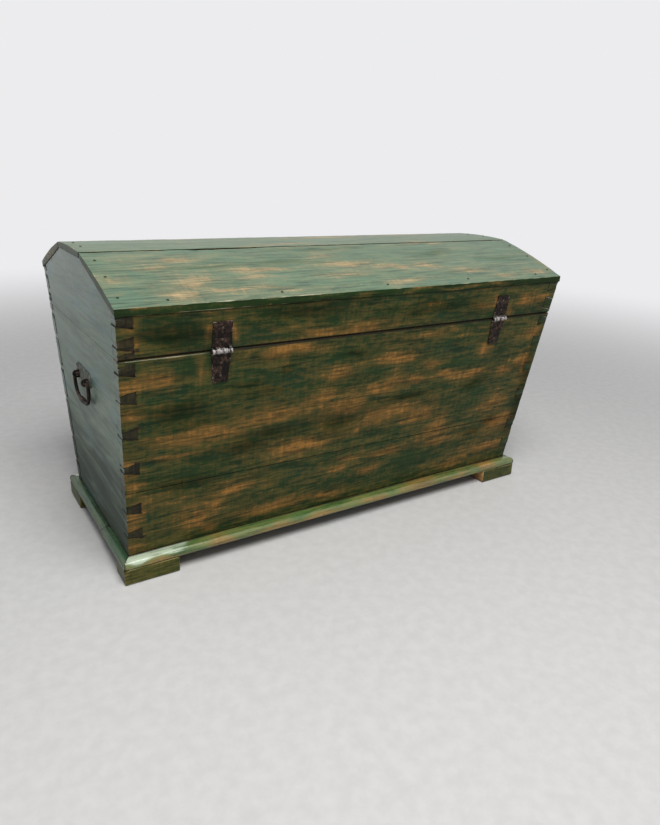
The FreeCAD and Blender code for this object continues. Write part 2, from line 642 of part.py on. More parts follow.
def hinge_leaf(name, sign, length, end_width, knuckles, offset, label):
    """A leaf on the rear wall with rolled knuckles at the seam; sign -1 hangs down, 1 stands up."""
    half = "(leaf_width/2)"
    flat = ("-leaf_thickness", "0")
    near, far = both_ways(half), both_ways(f"{end_width}/2")
    low, high = (near, far) if sign == "1" else (far, near)
    parts = [standing_block(f"{name}_plate", *span(sign, KNUCKLE_EDGE, length), low, flat, high, flat)]
    for count, (start, stop) in enumerate(knuckles):
        parts.append(box(f"{name}_tab_{count}", (start, stop), flat, span(sign, "0", KNUCKLE_EDGE)))
        parts.append(rod(f"{name}_knuckle_{count}", "X", (start, f"-{KNUCKLE_REACH}", "0"),
                         "knuckle_radius", f"{stop} - ({start})"))
    holes = [rod(f"{name}_bore", "X", (f"-{half}", f"-{KNUCKLE_REACH}", "0"),
                 "hinge_pin_radius + hinge_pin_play", "leaf_width")]
    for count, share in enumerate(LEAF_NAIL_SHARES):
        holes.append(rod(f"{name}_hole_{count}", "Y", ("0", "-2*leaf_thickness", f"{sign}*{share}*{length}"),
                         "nail_radius + nail_hole_play", "3*leaf_thickness"))
    leaf = cut(f"{name}_leaf", fuse(f"{name}_blank", *parts), *holes)
    piece(place(leaf, offset, f"-{half_depth(SEAM)}", SEAM, X_AXIS, SIDE_ANGLE), label)


def leaf_nails(sign, length, offset):
    """The nails of one hinge leaf."""
    nails = []
    for share in LEAF_NAIL_SHARES:
        y, z = on_side(SIDE_ANGLE, f"-{half_depth(SEAM)}", SEAM, "-leaf_thickness",
                       f"{sign}*{share}*{length}")
        nails.append(nail(NAIL, (offset, y, z), X_AXIS, f"90 deg + {SIDE_ANGLE}"))
    return nails


def hinges():
    """Two butt hinges on the outside of the rear wall, the lower leaf with two knuckles of three."""
    half = "(leaf_width/2)"
    outer = f"({half} - knuckle_length)"
    lower_knuckles = [(f"-{half}", f"-{outer}"), (outer, half)]
    upper_knuckles = [(f"-{outer} + knuckle_clearance", f"{outer} - knuckle_clearance")]
    lower_nails = []
    upper_nails = []
    for end, sign in ENDS.items():
        offset = f"{sign}*(seam_length/2 - {end}_hinge_inset)"
        hinge_leaf(f"{end}_lower", "-1", "lower_leaf_length", "lower_leaf_end_width", lower_knuckles, offset,
                   f"{end}_hinge_lower_leaf")
        hinge_leaf(f"{end}_upper", "1", "upper_leaf_length", "upper_leaf_end_width", upper_knuckles, offset,
                   f"{end}_hinge_upper_leaf")
        lower_nails += leaf_nails("-1", "lower_leaf_length", offset)
        upper_nails += leaf_nails("1", "upper_leaf_length", offset)
        reach = f"({half} + knuckle_standoff)"
        start = (f"-{reach}", f"-{KNUCKLE_REACH}", "0")
        shaft = rod(f"{end}_pin_shaft", "X", start, "hinge_pin_radius", f"2*{reach}")
        heads = [rod(f"{end}_pin_head_{count}", "X", (x, f"-{KNUCKLE_REACH}", "0"),
                     "hinge_pin_head_radius", "hinge_pin_head_length")
                 for count, x in enumerate((f"-{reach} - hinge_pin_head_length", reach))]
        pin = fuse(f"{end}_pin_solid", shaft, *heads)
        piece(place(pin, offset, f"-{half_depth(SEAM)}", SEAM, X_AXIS, SIDE_ANGLE), f"{end}_hinge_pin")
    group("hinge_lower_nails", lower_nails)
    group("hinge_upper_nails", upper_nails)


# Carrying handles

PIVOT = f"({FLOOR_TOP} + handle_rise)"
STAPLE_BEND = "(bail_wire + trunnion_play + staple_wire)"
# The bend leaves the bail a short straight leg and a straight length under the grip.
BAIL_BEND = "min(bail_bend; bail_drop - bail_shoulder - bail_wire; bail_width/2 - grip_length/2)"
HANDLE_NAIL_Y = "(handle_plate_length/2 - handle_plate_clip)"
HANDLE_NAIL_Z = "(handle_plate_height/2 - handle_plate_clip/2)"


def handle_plate(end, sign):
    """An iron plate with clipped corners, pierced for two staples and four nails."""
    across, clip_y = "(handle_plate_length/2)", "(handle_plate_length/2 - handle_plate_clip)"
    up, clip_z = "(handle_plate_height/2)", "(handle_plate_height/2 - handle_plate_clip)"
    outline = [(f"{y_sign}{y}", f"handle_plate_lift {z_sign} {z}") for y_sign, y, z_sign, z in (
        ("-", across, "-", clip_z), ("-", clip_y, "-", up), ("", clip_y, "-", up), ("", across, "-", clip_z),
        ("", across, "+", clip_z), ("", clip_y, "+", up), ("-", clip_y, "+", up), ("-", across, "+", clip_z))]
    blank = new_body(f"{end}_plate_blank")
    pad(blank, f"{end}_plate_pad", "YZ_Plane", outline, "handle_plate_thickness", backwards=sign == "-1")
    start = "-2*handle_plate_thickness"
    holes = []
    for y_sign in ("-", ""):
        for z_sign in ("-", ""):
            holes.append(rod(f"{end}_staple_hole", "X", (start, f"{y_sign}staple_spacing/2",
                                                         f"{z_sign}{STAPLE_BEND}"),
                             "staple_wire + nail_hole_play", "4*handle_plate_thickness"))
            holes.append(rod(f"{end}_nail_hole", "X", (start, f"{y_sign}{HANDLE_NAIL_Y}",
                                                       f"handle_plate_lift + {z_sign}{HANDLE_NAIL_Z}"),
                             "nail_radius + nail_hole_play", "4*handle_plate_thickness"))
    plate = cut(f"{end}_plate_solid", blank, *holes)
    place(plate, f"{sign}*{half_length(PIVOT)}", "0", PIVOT, Y_AXIS, f"{sign}*{END_ANGLE}")
    piece(plate, f"{end}_handle_plate")


def handle_nails(end, sign):
    """Four nails near the corners of a handle's plate."""
    turn = f"({sign}*{END_ANGLE})"
    nails = []
    for y_sign in ("-", ""):
        for z_sign in ("-", ""):
            x, z = on_end(turn, f"{sign}*{half_length(PIVOT)}", PIVOT, f"{sign}*handle_plate_thickness",
                          f"handle_plate_lift + {z_sign}{HANDLE_NAIL_Z}")
            nails.append(nail(NAIL, (x, f"{y_sign}{HANDLE_NAIL_Y}", z), Y_AXIS, f"{sign}*90 deg + {turn}"))
    group(f"{end}_handle_nails", nails)


def handle_staples(end, sign):
    """Two wire staples driven through the plate into the end wall, one round each end of the bail."""
    outward = Vector(int(sign), 0, 0)
    staples = []
    for y_sign in ("-", ""):
        bend = doc.addObject("Part::Torus", f"{end}_staple_bend")
        bind(bend, {"Radius1": STAPLE_BEND, "Radius2": "staple_wire", "Angle3": "180"})
        bend.Placement = Placement(Vector(), Rotation(outward.cross(Y_AXIS), outward, Y_AXIS))
        bind(bend, {"Placement.Base.x": f"{sign}*pivot_reach"})
        start = "-pivot_reach" if sign == "-1" else "-staple_depth"
        legs = [rod(f"{end}_staple_leg", "X", (start, "0", f"{z_sign}{STAPLE_BEND}"), "staple_wire",
                    "pivot_reach + staple_depth") for z_sign in ("-", "")]
        staple = fuse(f"{end}_staple", bend, *legs)
        staples.append(place(staple, f"{sign}*{half_length(PIVOT)}", f"{y_sign}staple_spacing/2", PIVOT,
                             Y_AXIS, f"{sign}*{END_ANGLE}"))
    group(f"{end}_handle_staples", staples)


def handle_bail(end, sign):
    """A round bar with in-turned ends, two legs and a swelled grip: it hangs plumb from the staples,
    or lies along the wall where the ends lean outward below it."""
    tip = "(staple_spacing/2 - staple_wire - trunnion_overrun)"
    leg = "(bail_width/2)"
    shoulder, bend = f"({leg} - bail_shoulder)", f"({leg} - {BAIL_BEND})"
    low = f"(bail_drop - {BAIL_BEND})"
    route = [(tip, "0"),
             (shoulder, "0", "bail_shoulder", (shoulder, "-bail_shoulder")),
             (leg, "-bail_shoulder"),
             (leg, f"-{low}", BAIL_BEND, (bend, f"-{low}")),
             (bend, "-bail_drop"),
             (f"-{bend}", "-bail_drop", BAIL_BEND, (f"-{bend}", f"-{low}")),
             (f"-{leg}", f"-{low}"),
             (f"-{leg}", "-bail_shoulder", "bail_shoulder", (f"-{shoulder}", "-bail_shoulder")),
             (f"-{shoulder}", "0"),
             (f"-{tip}", "0")]
    body = new_body(f"{end}_bail_bar")
    path = sketch_on(body, f"{end}_bail_route", "YZ_Plane")
    draw_path(path, route, closed=False)
    section = sketch_on(body, f"{end}_bail_section", "XZ_Plane")
    bind(section, {"AttachmentOffset.Base.z": f"-{tip}"})
    circle = section.addGeometry(Part.Circle(Vector(), Vector(0, 0, 1), number("bail_wire")))
    section.addConstraint(Sketcher.Constraint("Coincident", circle, 3, -1, 1))
    rule = section.addConstraint(Sketcher.Constraint("Radius", circle, number("bail_wire")))
    section.setExpression(f"Constraints[{rule}]", tied("bail_wire"))
    doc.recompute()
    bar = body.newObject("PartDesign::AdditivePipe", f"{end}_bail_pipe")
    bar.Profile = section
    bar.Spine = (path, [f"Edge{count}" for count in range(1, len(route))])

    start = "(bail_wire - grip_sink)"
    rise = f"(grip_radius - {start})"
    arc = f"(((grip_length/2)^2 + {rise}^2)/(2*{rise}))"
    swell = sketch_on(body, f"{end}_grip_outline", "YZ_Plane")
    bind(swell, {"AttachmentOffset.Base.y": "-bail_drop"})
    draw_path(swell, [("-grip_length/2", "0"), ("grip_length/2", "0"),
                      ("grip_length/2", start, arc, ("0", f"grip_radius - {arc}")),
                      ("-grip_length/2", start)])
    grip = body.newObject("PartDesign::Revolution", f"{end}_grip")
    grip.Profile = swell
    grip.ReferenceAxis = (swell, ["H_Axis"])
    grip.Angle = 360
    x, z = on_end(f"({sign}*{END_ANGLE})", f"{sign}*{half_length(PIVOT)}", PIVOT, f"{sign}*pivot_reach", "0")
    piece(place(body, x, "0", z, Y_AXIS, f"{sign}*min(0 deg; {END_ANGLE})"), f"{end}_bail")


def handles():
    for end, sign in ENDS.items():
        handle_plate(end, sign)
        handle_nails(end, sign)
        handle_staples(end, sign)
        handle_bail(end, sign)


# Lock

FRONT_TURN = f"(-{SIDE_ANGLE})"
INSIDE_FACE = f"({half_depth(RIM)} - side_thickness)"
BOLT_Y = ("-(bolt_from_wall + bolt_width)", "-bolt_from_wall")
BOLT_Z = ("-(bolt_below_rim + bolt_height/2)", "-(bolt_below_rim - bolt_height/2)")
LUG = "(4*screw_head_radius)"


def grown(limits, amount):
    """A range that is longer by an amount at both ends."""
    return (f"{limits[0]} - ({amount})", f"{limits[1]} + ({amount})")


def on_front_inside(thing):
    """Stands a piece on the inside of the front wall at the rim, leaning with the wall."""
    return place(thing, "0", INSIDE_FACE, RIM, X_AXIS, FRONT_TURN)


def on_front_outside(thing):
    """Stands a piece on the outside of the front wall at the rim, leaning with the wall."""
    return place(thing, "0", half_depth(RIM), RIM, X_AXIS, FRONT_TURN)


def lock_case():
    """A thin iron case that is open towards the wall, with a keep for the bolt and a slot on top."""
    half = "(lock_length/2)"
    top, bottom = "-lock_below_rim", "-(lock_below_rim + lock_height)"
    inner_x = both_ways(f"{half} - lock_plate")
    inner_y = ("-(lock_depth - lock_plate)", "lock_plate")
    middle = "(-lock_below_rim - lock_height/2)"
    shell = cut("lock_shell", box("lock_block", both_ways(half), ("-lock_depth", "0"), (bottom, top)),
                box("lock_hollow", inner_x, inner_y, (f"{bottom} + lock_plate", f"{top} - lock_plate")))
    lugs = [box(f"lock_lug_{end}", span(sign, f"{half} - lock_plate", f"{half} + {LUG}"),
                ("-lock_plate", "0"), (f"{middle} - {LUG}/2", f"{middle} + {LUG}/2"))
            for end, sign in ENDS.items()]
    keep = box("bolt_keep", (inner_x[0], "-(tongue_length/2 + tongue_room)"),
               ("-(lock_depth - lock_plate)", "-(bolt_from_wall - bolt_play - keep_wall)"),
               grown(BOLT_Z, "bolt_play + keep_wall"))
    channel = box("bolt_channel", (inner_x[0], "0"), grown(BOLT_Y, "bolt_play"), grown(BOLT_Z, "bolt_play"))
    slot = box("tongue_slot", both_ways("tongue_length/2 + tongue_room"),
               ("-(lock_depth - lock_plate)", "-lock_plate"),
               (f"{top} - 2*lock_plate", f"{top} + lock_plate"))
    holes = [rod(f"lock_hole_{end}", "Y", (f"{sign}*({half} + {LUG}/2)", "-2*lock_plate", middle),
                 "screw_radius + nail_hole_play", "3*lock_plate") for end, sign in ENDS.items()]
    case = cut("lock_case_solid", fuse("lock_case_blank", shell, keep, *lugs), channel, slot, *holes)
    piece(on_front_inside(case), "lock_case")
    screws = []
    for sign in ENDS.values():
        y, z = on_side(FRONT_TURN, INSIDE_FACE, RIM, "-lock_plate", middle)
        screws.append(nail(SCREW, (f"{sign}*({half} + {LUG}/2)", y, z), X_AXIS, f"90 deg + {FRONT_TURN}"))
    group("lock_screws", screws)


def lock_bolt():
    """A square bar that slides in its keep, drawn back here so that the lid is free."""
    tail = "-(bolt_setback + bolt_length)"
    bar = box("bolt_bar", (tail, "-bolt_setback"), BOLT_Y, BOLT_Z)
    notch = box("bolt_notch", (f"{tail} + bolt_length/3", f"{tail} + bolt_length/2"),
                grown(BOLT_Y, "bolt_play"), (f"{BOLT_Z[0]} - bolt_play", f"{BOLT_Z[0]} + bolt_height/3"))
    piece(on_front_inside(cut("bolt_solid", bar, notch)), "lock_bolt")


def lock_catch():
    """A plate on the inside of the lid's front rail, with a pierced tongue that hangs into the lock."""
    thick_x = both_ways("tongue_length/2")
    hole_y, hole_z = grown(BOLT_Y, "tongue_bolt_play"), grown(BOLT_Z, "tongue_bolt_play")
    tongue_y, tongue_z = grown(hole_y, "tongue_margin"), grown(hole_z, "tongue_margin")
    high = "(catch_lift + 3*catch_thickness)"
    plate = box("catch_plate", both_ways("catch_length/2"), ("-catch_thickness", "0"),
                ("catch_lift", "catch_lift + catch_height"))
    tongue = box("catch_tongue", thick_x, tongue_y, (tongue_z[0], high))
    bridge = box("catch_bridge", thick_x, (tongue_y[0], "0"), ("catch_lift", high))
    screw_spots = [(f"{sign}*catch_length/3", "(catch_lift + catch_height/2)") for sign in ENDS.values()]
    holes = [box("catch_hole", both_ways("tongue_length"), hole_y, hole_z)]
    for x, z in screw_spots:
        holes.append(rod("catch_screw_hole", "Y", (x, "-2*catch_thickness", z),
                         "screw_radius + nail_hole_play", "3*catch_thickness"))
    catch = cut("catch_solid", fuse("catch_blank", plate, tongue, bridge), *holes)
    piece(on_front_inside(catch), "lock_catch")
    screws = []
    for x, height in screw_spots:
        y, z = on_side(FRONT_TURN, INSIDE_FACE, RIM, "-catch_thickness", height)
        screws.append(nail(SCREW, (x, y, z), X_AXIS, f"90 deg + {FRONT_TURN}"))
    group("catch_screws", screws)


def keyhole_bore():
    """The keyhole through the front wall: a round bore with a slot below it."""
    through = ("-3*side_thickness/2", "side_thickness/2")
    bore = rod("keyhole_bore_round", "Y", ("0", through[0], "-keyhole_drop"), "keyhole_bore",
               f"{through[1]} - ({through[0]})")
    slot = box("keyhole_bore_slot", both_ways("keyhole_slot_width"), through,
               ("-keyhole_drop - keyhole_slot_length - keyhole_slot_width", "-keyhole_drop"))
    return on_front_outside(fuse("keyhole_bore_tool", bore, slot))


def escutcheon():
    """A thin plate outside the front wall, pierced by the keyhole and held by two pins."""
    wide, tall = "(escutcheon_width/2)", "(escutcheon_height/2)"
    middle = "-keyhole_drop"
    outline = [(f"-{wide}", f"{middle} - {tall}/2"), ("0", f"{middle} - {tall}"),
               (wide, f"{middle} - {tall}/2"), (wide, f"{middle} + {tall}/2"),
               (f"{wide}/2", f"{middle} + {tall}"),
               (f"-{wide}/2", f"{middle} + {tall}"), (f"-{wide}", f"{middle} + {tall}/2")]
    blank = new_body("escutcheon_blank")
    pad(blank, "escutcheon_pad", "XZ_Plane", outline, "escutcheon_thickness", backwards=True)
    start = "-escutcheon_thickness"
    pin_levels = [f"({middle} {way} escutcheon_pin_share*{tall})" for way in "+-"]
    holes = [rod("keyhole_round", "Y", ("0", start, middle), "keyhole_radius", "3*escutcheon_thickness"),
             box("keyhole_slot", both_ways("keyhole_slot_width/2"), (start, "2*escutcheon_thickness"),
                 (f"{middle} - keyhole_slot_length", middle))]
    for level in pin_levels:
        holes.append(rod("escutcheon_pin_hole", "Y", ("0", start, level), "brad_radius + nail_hole_play",
                         "3*escutcheon_thickness"))
    plate = cut("escutcheon_solid", blank, *holes)
    piece(on_front_outside(plate), "keyhole_plate")
    pins = []
    for level in pin_levels:
        y, z = on_side(FRONT_TURN, half_depth(RIM), RIM, "escutcheon_thickness", level)
        pins.append(nail(PIN, ("0", y, z), X_AXIS, f"-90 deg + {FRONT_TURN}"))
    group("keyhole_plate_pins", pins)


# The whole trunk

seam_grooves_tool = seam_grooves()
chest_walls(seam_grooves_tool, keyhole_bore())
floor_boards()
nosings()
feet()
lid_walls(seam_grooves_tool)
dome_boards()
dome_nails()
floor_nails()
nosing_nails()
foot_nails()
hinges()
handles()
lock_case()
lock_bolt()
lock_catch()
escutcheon()
doc.recompute()

for thing in doc.Objects:
    if "Invalid" in thing.State or "Error" in thing.State:
        raise RuntimeError(f"{thing.Name} ({thing.Label}) did not recompute")
os.makedirs("parts", exist_ok=True)
for part in pieces:
    if part.Shape.isNull() or not part.Shape.isValid():
        raise RuntimeError(f"{part.Label} has no valid shape")
for part in pieces:
    part.Shape.exportStep(f"parts/{part.Label}.step")
    print(f"{part.Label}: {len(part.Shape.Solids)} solids, {part.Shape.Volume/1000:.1f} cm3")
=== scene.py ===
"""The looks of an old pine trunk with a domed lid: rubbed green paint, bare wood and rusty iron.

Metres, +Z up, X along the trunk, hinges on the rear (-Y), lock on the front (+Y).
"""
import json
import math
import random
from collections import namedtuple
from functools import cached_property

import bmesh
import bpy
import numpy as np
from mathutils import Matrix, Vector, noise
from mathutils.bvhtree import BVHTree
from mathutils.kdtree import KDTree

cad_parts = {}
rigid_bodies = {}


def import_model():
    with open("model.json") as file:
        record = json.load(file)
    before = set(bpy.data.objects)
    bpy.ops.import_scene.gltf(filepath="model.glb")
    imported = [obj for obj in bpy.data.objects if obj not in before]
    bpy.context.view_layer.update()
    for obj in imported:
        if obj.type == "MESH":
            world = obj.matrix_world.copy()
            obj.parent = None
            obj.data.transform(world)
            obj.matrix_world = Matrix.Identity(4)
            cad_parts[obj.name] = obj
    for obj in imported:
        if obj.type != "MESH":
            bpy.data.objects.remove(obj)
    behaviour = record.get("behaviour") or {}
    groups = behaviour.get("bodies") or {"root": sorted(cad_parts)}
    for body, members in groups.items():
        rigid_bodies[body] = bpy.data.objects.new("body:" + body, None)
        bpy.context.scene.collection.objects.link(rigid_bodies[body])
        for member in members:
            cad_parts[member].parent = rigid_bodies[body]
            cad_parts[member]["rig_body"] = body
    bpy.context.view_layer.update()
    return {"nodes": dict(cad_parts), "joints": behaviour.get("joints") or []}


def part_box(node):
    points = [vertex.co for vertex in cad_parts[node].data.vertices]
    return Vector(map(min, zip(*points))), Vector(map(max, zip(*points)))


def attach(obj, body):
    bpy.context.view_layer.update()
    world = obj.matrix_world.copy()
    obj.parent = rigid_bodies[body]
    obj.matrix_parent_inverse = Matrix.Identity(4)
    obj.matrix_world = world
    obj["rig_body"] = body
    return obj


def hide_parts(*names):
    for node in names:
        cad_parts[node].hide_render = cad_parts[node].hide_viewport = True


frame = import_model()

nodes = frame["nodes"]
MM = 0.001
X, Y, Z = 0, 1, 2

# Pieces of the trunk, by how they are made and finished

LONG_WALLS = ["rear_wall_upper_board", "rear_wall_lower_board", "front_wall_upper_board",
              "front_wall_lower_board", "lid_rear_rail", "lid_front_rail"]
END_WALLS = ["left_end_panel", "right_end_panel", "lid_left_end", "lid_right_end"]
DOME_BOARDS = ["dome_rear_board", "dome_top_board", "dome_front_board"]
LONG_TRIM = ["rear_nosing", "front_nosing"]
END_TRIM = ["left_nosing_rear", "left_nosing_front", "right_nosing"]
FEET = [f"{side}_{end}_foot" for side in ("rear", "front") for end in ("left", "right")]
FLOOR_BOARDS = ["floor_board_rear", "floor_board_middle", "floor_board_front"]
HINGE_LEAVES = [f"{end}_hinge_{half}_leaf" for end in ("left", "right") for half in ("lower", "upper")]
HANDLE_PLATES = ["left_handle_plate", "right_handle_plate"]
BAILS = ["left_bail", "right_bail"]
LOCK_IRON = ["lock_case", "lock_bolt", "lock_catch", "keyhole_plate"]
WOOD = LONG_WALLS + END_WALLS + DOME_BOARDS + LONG_TRIM + END_TRIM + FEET + FLOOR_BOARDS

# Wear of each kind of piece in millimetres: grid step on x, y and z (0 for none), rounding, waves, chips

Wear = namedtuple("Wear", "step rounding wave chip")
LONG_WALL_WEAR = Wear((14, 0, 7), 0.9, 0.35, 2.2)
END_WALL_WEAR = Wear((0, 9, 9), 0.9, 0.35, 2.2)
DOME_WEAR = Wear((14, 8, 200), 1.1, 0.45, 2.6)
LONG_TRIM_WEAR = Wear((12, 0, 0), 0.8, 0.4, 2.0)
END_TRIM_WEAR = Wear((0, 12, 0), 0.8, 0.4, 2.0)
FOOT_WEAR = Wear((9, 9, 8), 1.2, 0.5, 2.4)
FLOOR_WEAR = Wear((30, 20, 0), 0.8, 0.3, 1.0)
LEAF_WEAR = Wear((3, 0, 3), 0.5, 0.35, 1.2)
HANDLE_WEAR = Wear((0, 3, 3), 0.4, 0.4, 0.8)
LOCK_WEAR = Wear((4, 0, 4), 0.3, 0.12, 0.3)

# Worn, dark and pale places in millimetres: middle along x, middle across, half length, half width. The pale
# place on the moulding is a painted highlight.

REAR_WORN = [
    (-480, 440, 40, 18), (-400, 305, 75, 16), (-440, 270, 60, 7), (-215, 464, 65, 10), (-205, 325, 105, 20),
    (-160, 230, 75, 17), (-400, 108, 36, 32), (-360, 135, 34, 24), (-310, 155, 36, 13), (-365, 75, 38, 13),
    (-190, 85, 100, 14), (-40, 498, 60, 10), (-150, 500, 40, 9), (-85, 395, 30, 14), (-130, 340, 50, 14),
    (-50, 312, 60, 24), (40, 346, 60, 20), (133, 350, 40, 10), (63, 412, 60, 13), (183, 463, 55, 9),
    (192, 385, 40, 9), (250, 352, 40, 10), (90, 275, 80, 18), (175, 262, 50, 26), (250, 212, 34, 34),
    (262, 160, 36, 10), (80, 166, 40, 9), (-15, 172, 40, 8), (-45, 145, 28, 10), (45, 125, 34, 11),
    (-65, 80, 30, 12), (325, 342, 60, 12), (435, 331, 24, 12), (425, 240, 40, 14), (475, 183, 34, 22),
    (368, 409, 20, 8), (495, 431, 34, 16), (505, 340, 20, 40), (465, 105, 75, 14), (318, 80, 60, 10),
    (305, 515, 50, 10), (400, 498, 10, 18), (496, 523, 24, 12), (450, 515, 30, 14), (343, 525, 8, 14),
    (-384, 515, 5, 24), (-333, 515, 5, 26), (-384, 445, 5, 22), (-532, 540, 14, 10), (-530, 510, 18, 14),
    (-530, 432, 24, 18), (-530, 375, 18, 24), (-525, 265, 18, 28), (-530, 217, 16, 10), (-522, 148, 18, 22),
    (-521, 110, 20, 18), (-520, 67, 20, 12), (360, 400, 17, 13),
]
REAR_DARK = [
    (-41, 438, 36, 9), (334, 312, 46, 13), (-64, 272, 60, 18), (443, 189, 30, 14), (382, 167, 40, 11),
    (-405, 330, 60, 8), (-215, 276, 60, 13), (-208, 425, 15, 13), (-250, 380, 70, 9), (120, 310, 80, 10),
    (-420, 200, 90, 16), (-300, 400, 40, 8), (524, 260, 24, 170), (-450, 522, 70, 30), (-200, 540, 110, 18),
    (150, 525, 130, 18), (-440, 360, 60, 30), (-300, 260, 60, 20),
]
LID_WORN = [
    (-424, -262, 28, 16), (-400, -236, 24, 16), (-372, -214, 36, 12), (-322, -263, 55, 8),
    (-250, -259, 45, 8), (-510, -208, 28, 12), (-390, -142, 40, 10), (-432, -168, 26, 9), (-11, -182, 60, 10),
    (81, -206, 42, 10), (163, -210, 42, 9), (76, -266, 55, 8), (304, -246, 50, 9), (383, -273, 45, 6),
    (548, -228, 12, 30), (-51, -140, 34, 8), (-215, -194, 60, 7), (-254, -219, 50, 7), (-55, -227, 60, 9),
    (482, -260, 40, 8), (-130, -60, 90, 8), (250, -95, 80, 6), (60, 30, 120, 14), (-300, 70, 90, 12),
    (330, 60, 70, 14),
]
LID_DARK = [
    (-330, -175, 80, 7), (-150, -165, 90, 8), (250, -150, 60, 10), (420, -190, 50, 10), (-60, -110, 120, 6),
]
EAVE_WORN = [(-500, 572, 40, 5), (-60, 566, 45, 4), (110, 568, 60, 5), (215, 566, 70, 4), (330, 569, 45, 5)]
TRIM_WORN = [
    (-330, 45, 30, 12), (-205, 41, 70, 7), (-90, 41, 60, 7), (60, 42, 50, 7), (215, 44, 45, 14),
    (330, 42, 40, 7), (450, 46, 30, 9), (-470, 38, 40, 5),
]
TRIM_PAINTED_HIGHLIGHT = [(-500, 55, 180, 13)]

# Pale lines on the rear in millimetres: board, from x to x, from z to z. They are rubbed paint, and the one
# under the seam is also a painted highlight on the groove's cheek that faces up.

RUBBED_AND_HIGHLIT_LINES = [
    ("rear_wall_upper_board", (-545, -382), (476.8, 479.4)),
    ("lid_rear_rail", (-545, -240), (561.5, 580)),
]

# Splits in the rear wall in millimetres: board, x and z of one end, x and z of the other, depth

SPLITS = [
    ("rear_wall_upper_board", (-335, 367), (-240, 356), 1.6),
    ("rear_wall_lower_board", (-150, 181), (312, 138), 0.9),
]

# Seeded places for the faces that are away from the camera, in millimetres

SPREAD = 530
HALF_LENGTHS = (25, 110)
HALF_WIDTHS = (8, 30)


def random_places(seed, count, low, high):
    """Places between two heights, or between two distances from the middle of the lid."""
    draw = random.Random(seed)
    return [(draw.uniform(-SPREAD, SPREAD), draw.uniform(low, high), draw.uniform(*HALF_LENGTHS),
             draw.uniform(*HALF_WIDTHS)) for _ in range(count)]


FRONT_WORN = random_places(seed=3, count=36, low=60, high=560)
FRONT_DARK = random_places(seed=8, count=16, low=60, high=560)
LID_WORN += random_places(seed=5, count=16, low=90, high=285)

# The seam between chest and lid, the outer faces of the eaves, and extra cuts where wear changes sharply

SEAM = (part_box("rear_wall_upper_board")[1][Z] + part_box("lid_rear_rail")[0][Z]) / 2
SEAM_REACH = 4 * MM
SEAM_MARGIN = 5.2 * MM
SEAM_CUTS = [SEAM - SEAM_MARGIN, SEAM + SEAM_MARGIN]
EAVE_DEPTH = 0.84 * MM
EAVE_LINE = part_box("dome_front_board")[1][Y] - EAVE_DEPTH
EAVE_CUTS = [565 * MM, 570 * MM, 574 * MM]
HINGE_MARGINS = (1 * MM, 8 * MM, 18 * MM)
HINGE_CUTS = []
for end in ("left", "right"):
    leaf_low, leaf_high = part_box(f"{end}_hinge_lower_leaf")
    for margin in HINGE_MARGINS:
        HINGE_CUTS += [leaf_low[X] - margin, leaf_high[X] + margin]

# Meshes: finer copies of the solids, with soft, chipped edges

WELD = 1e-6
FLAT = math.radians(0.4)
SHARP = math.radians(28)
SMOOTH = math.radians(42)
SHORT_EDGE = 3
JOINT = 1.3 * MM
POINT_STEP = 3 * MM
EDGE_REACH = 6 * MM
GROOVE_REACH = 4 * MM
trees = {}
for node in WOOD:
    shape = nodes[node].data
    trees[node] = BVHTree.FromPolygons([point.co for point in shape.vertices],
                                       [face.vertices for face in shape.polygons])


def planes(low, high, step, extra=()):
    """Places between two ends where a mesh is sliced."""
    count = max(1, round((high - low) / step))
    even = [low + (high - low) * i / count for i in range(1, count)]
    return sorted(even + [place for place in extra if low < place < high])


def cut(mesh, place, direction):
    """Cuts every face of a mesh where it crosses a plane."""
    geometry = mesh.verts[:] + mesh.edges[:] + mesh.faces[:]
    bmesh.ops.bisect_plane(mesh, geom=geometry, dist=WELD, plane_co=place, plane_no=direction)


def neighbours(node):
    """The wooden pieces whose boxes touch a node's box."""
    low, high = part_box(node)
    found = []
    for other in WOOD:
        other_low, other_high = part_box(other)
        apart = any(other_low[i] > high[i] + JOINT or other_high[i] < low[i] - JOINT for i in range(3))
        if other != node and not apart:
            found.append(other)
    return found


def in_joint(place, beside):
    """Whether a place lies against one of some boards."""
    return any(trees[other].find_nearest(place, JOINT)[0] is not None for other in beside)


def rounded_solid(node, rounding):
    """A welded copy of a CAD node with rounded free edges; edges shorter than a few roundings stay sharp.

    Also gives points along its free edges, and points along edges where it meets another board.
    """
    mesh = bmesh.new()
    mesh.from_mesh(nodes[node].data)
    bmesh.ops.remove_doubles(mesh, verts=mesh.verts, dist=WELD)
    bmesh.ops.dissolve_limit(mesh, angle_limit=FLAT, verts=mesh.verts, edges=mesh.edges)
    sharp = [edge for edge in mesh.edges
             if edge.is_manifold and edge.is_convex and edge.calc_face_angle() > SHARP]
    beside = neighbours(node)
    free, joint, rounded = [], [], []
    for edge in sharp:
        start, end = (vertex.co for vertex in edge.verts)
        count = max(1, round(edge.calc_length() / POINT_STEP))
        before = len(free)
        for i in range(count + 1):
            place = start.lerp(end, i / count)
            (joint if in_joint(place, beside) else free).append(place)
        if len(free) - before > count / 2 and edge.calc_length() > SHORT_EDGE * rounding:
            rounded.append(edge)
    bmesh.ops.bevel(mesh, geom=rounded, offset=rounding, segments=2, profile=0.55, affect="EDGES",
                    clamp_overlap=False)
    return mesh, free, joint


def mark(mesh, name, places, reach):
    """A layer that is 1 at some places and falls to 0 within reach of them."""
    layer = mesh.verts.layers.float.new(name)
    if not places:
        return
    tree = KDTree(len(places))
    for i, place in enumerate(places):
        tree.insert(place, i)
    tree.balance()
    for vertex in mesh.verts:
        vertex[layer] = max(0.0, 1 - tree.find(vertex.co)[2] / reach)


# Shape of a split: its waves are to a metre, and it tapers over a share of its length at both ends

SPLIT_HALF_WIDTH = 1.1 * MM
ON_SPLIT = 0.01 * MM
FACES_REAR = -0.6
SPLIT_TAPER = 1 / 6
SPLIT_WAVES = 40


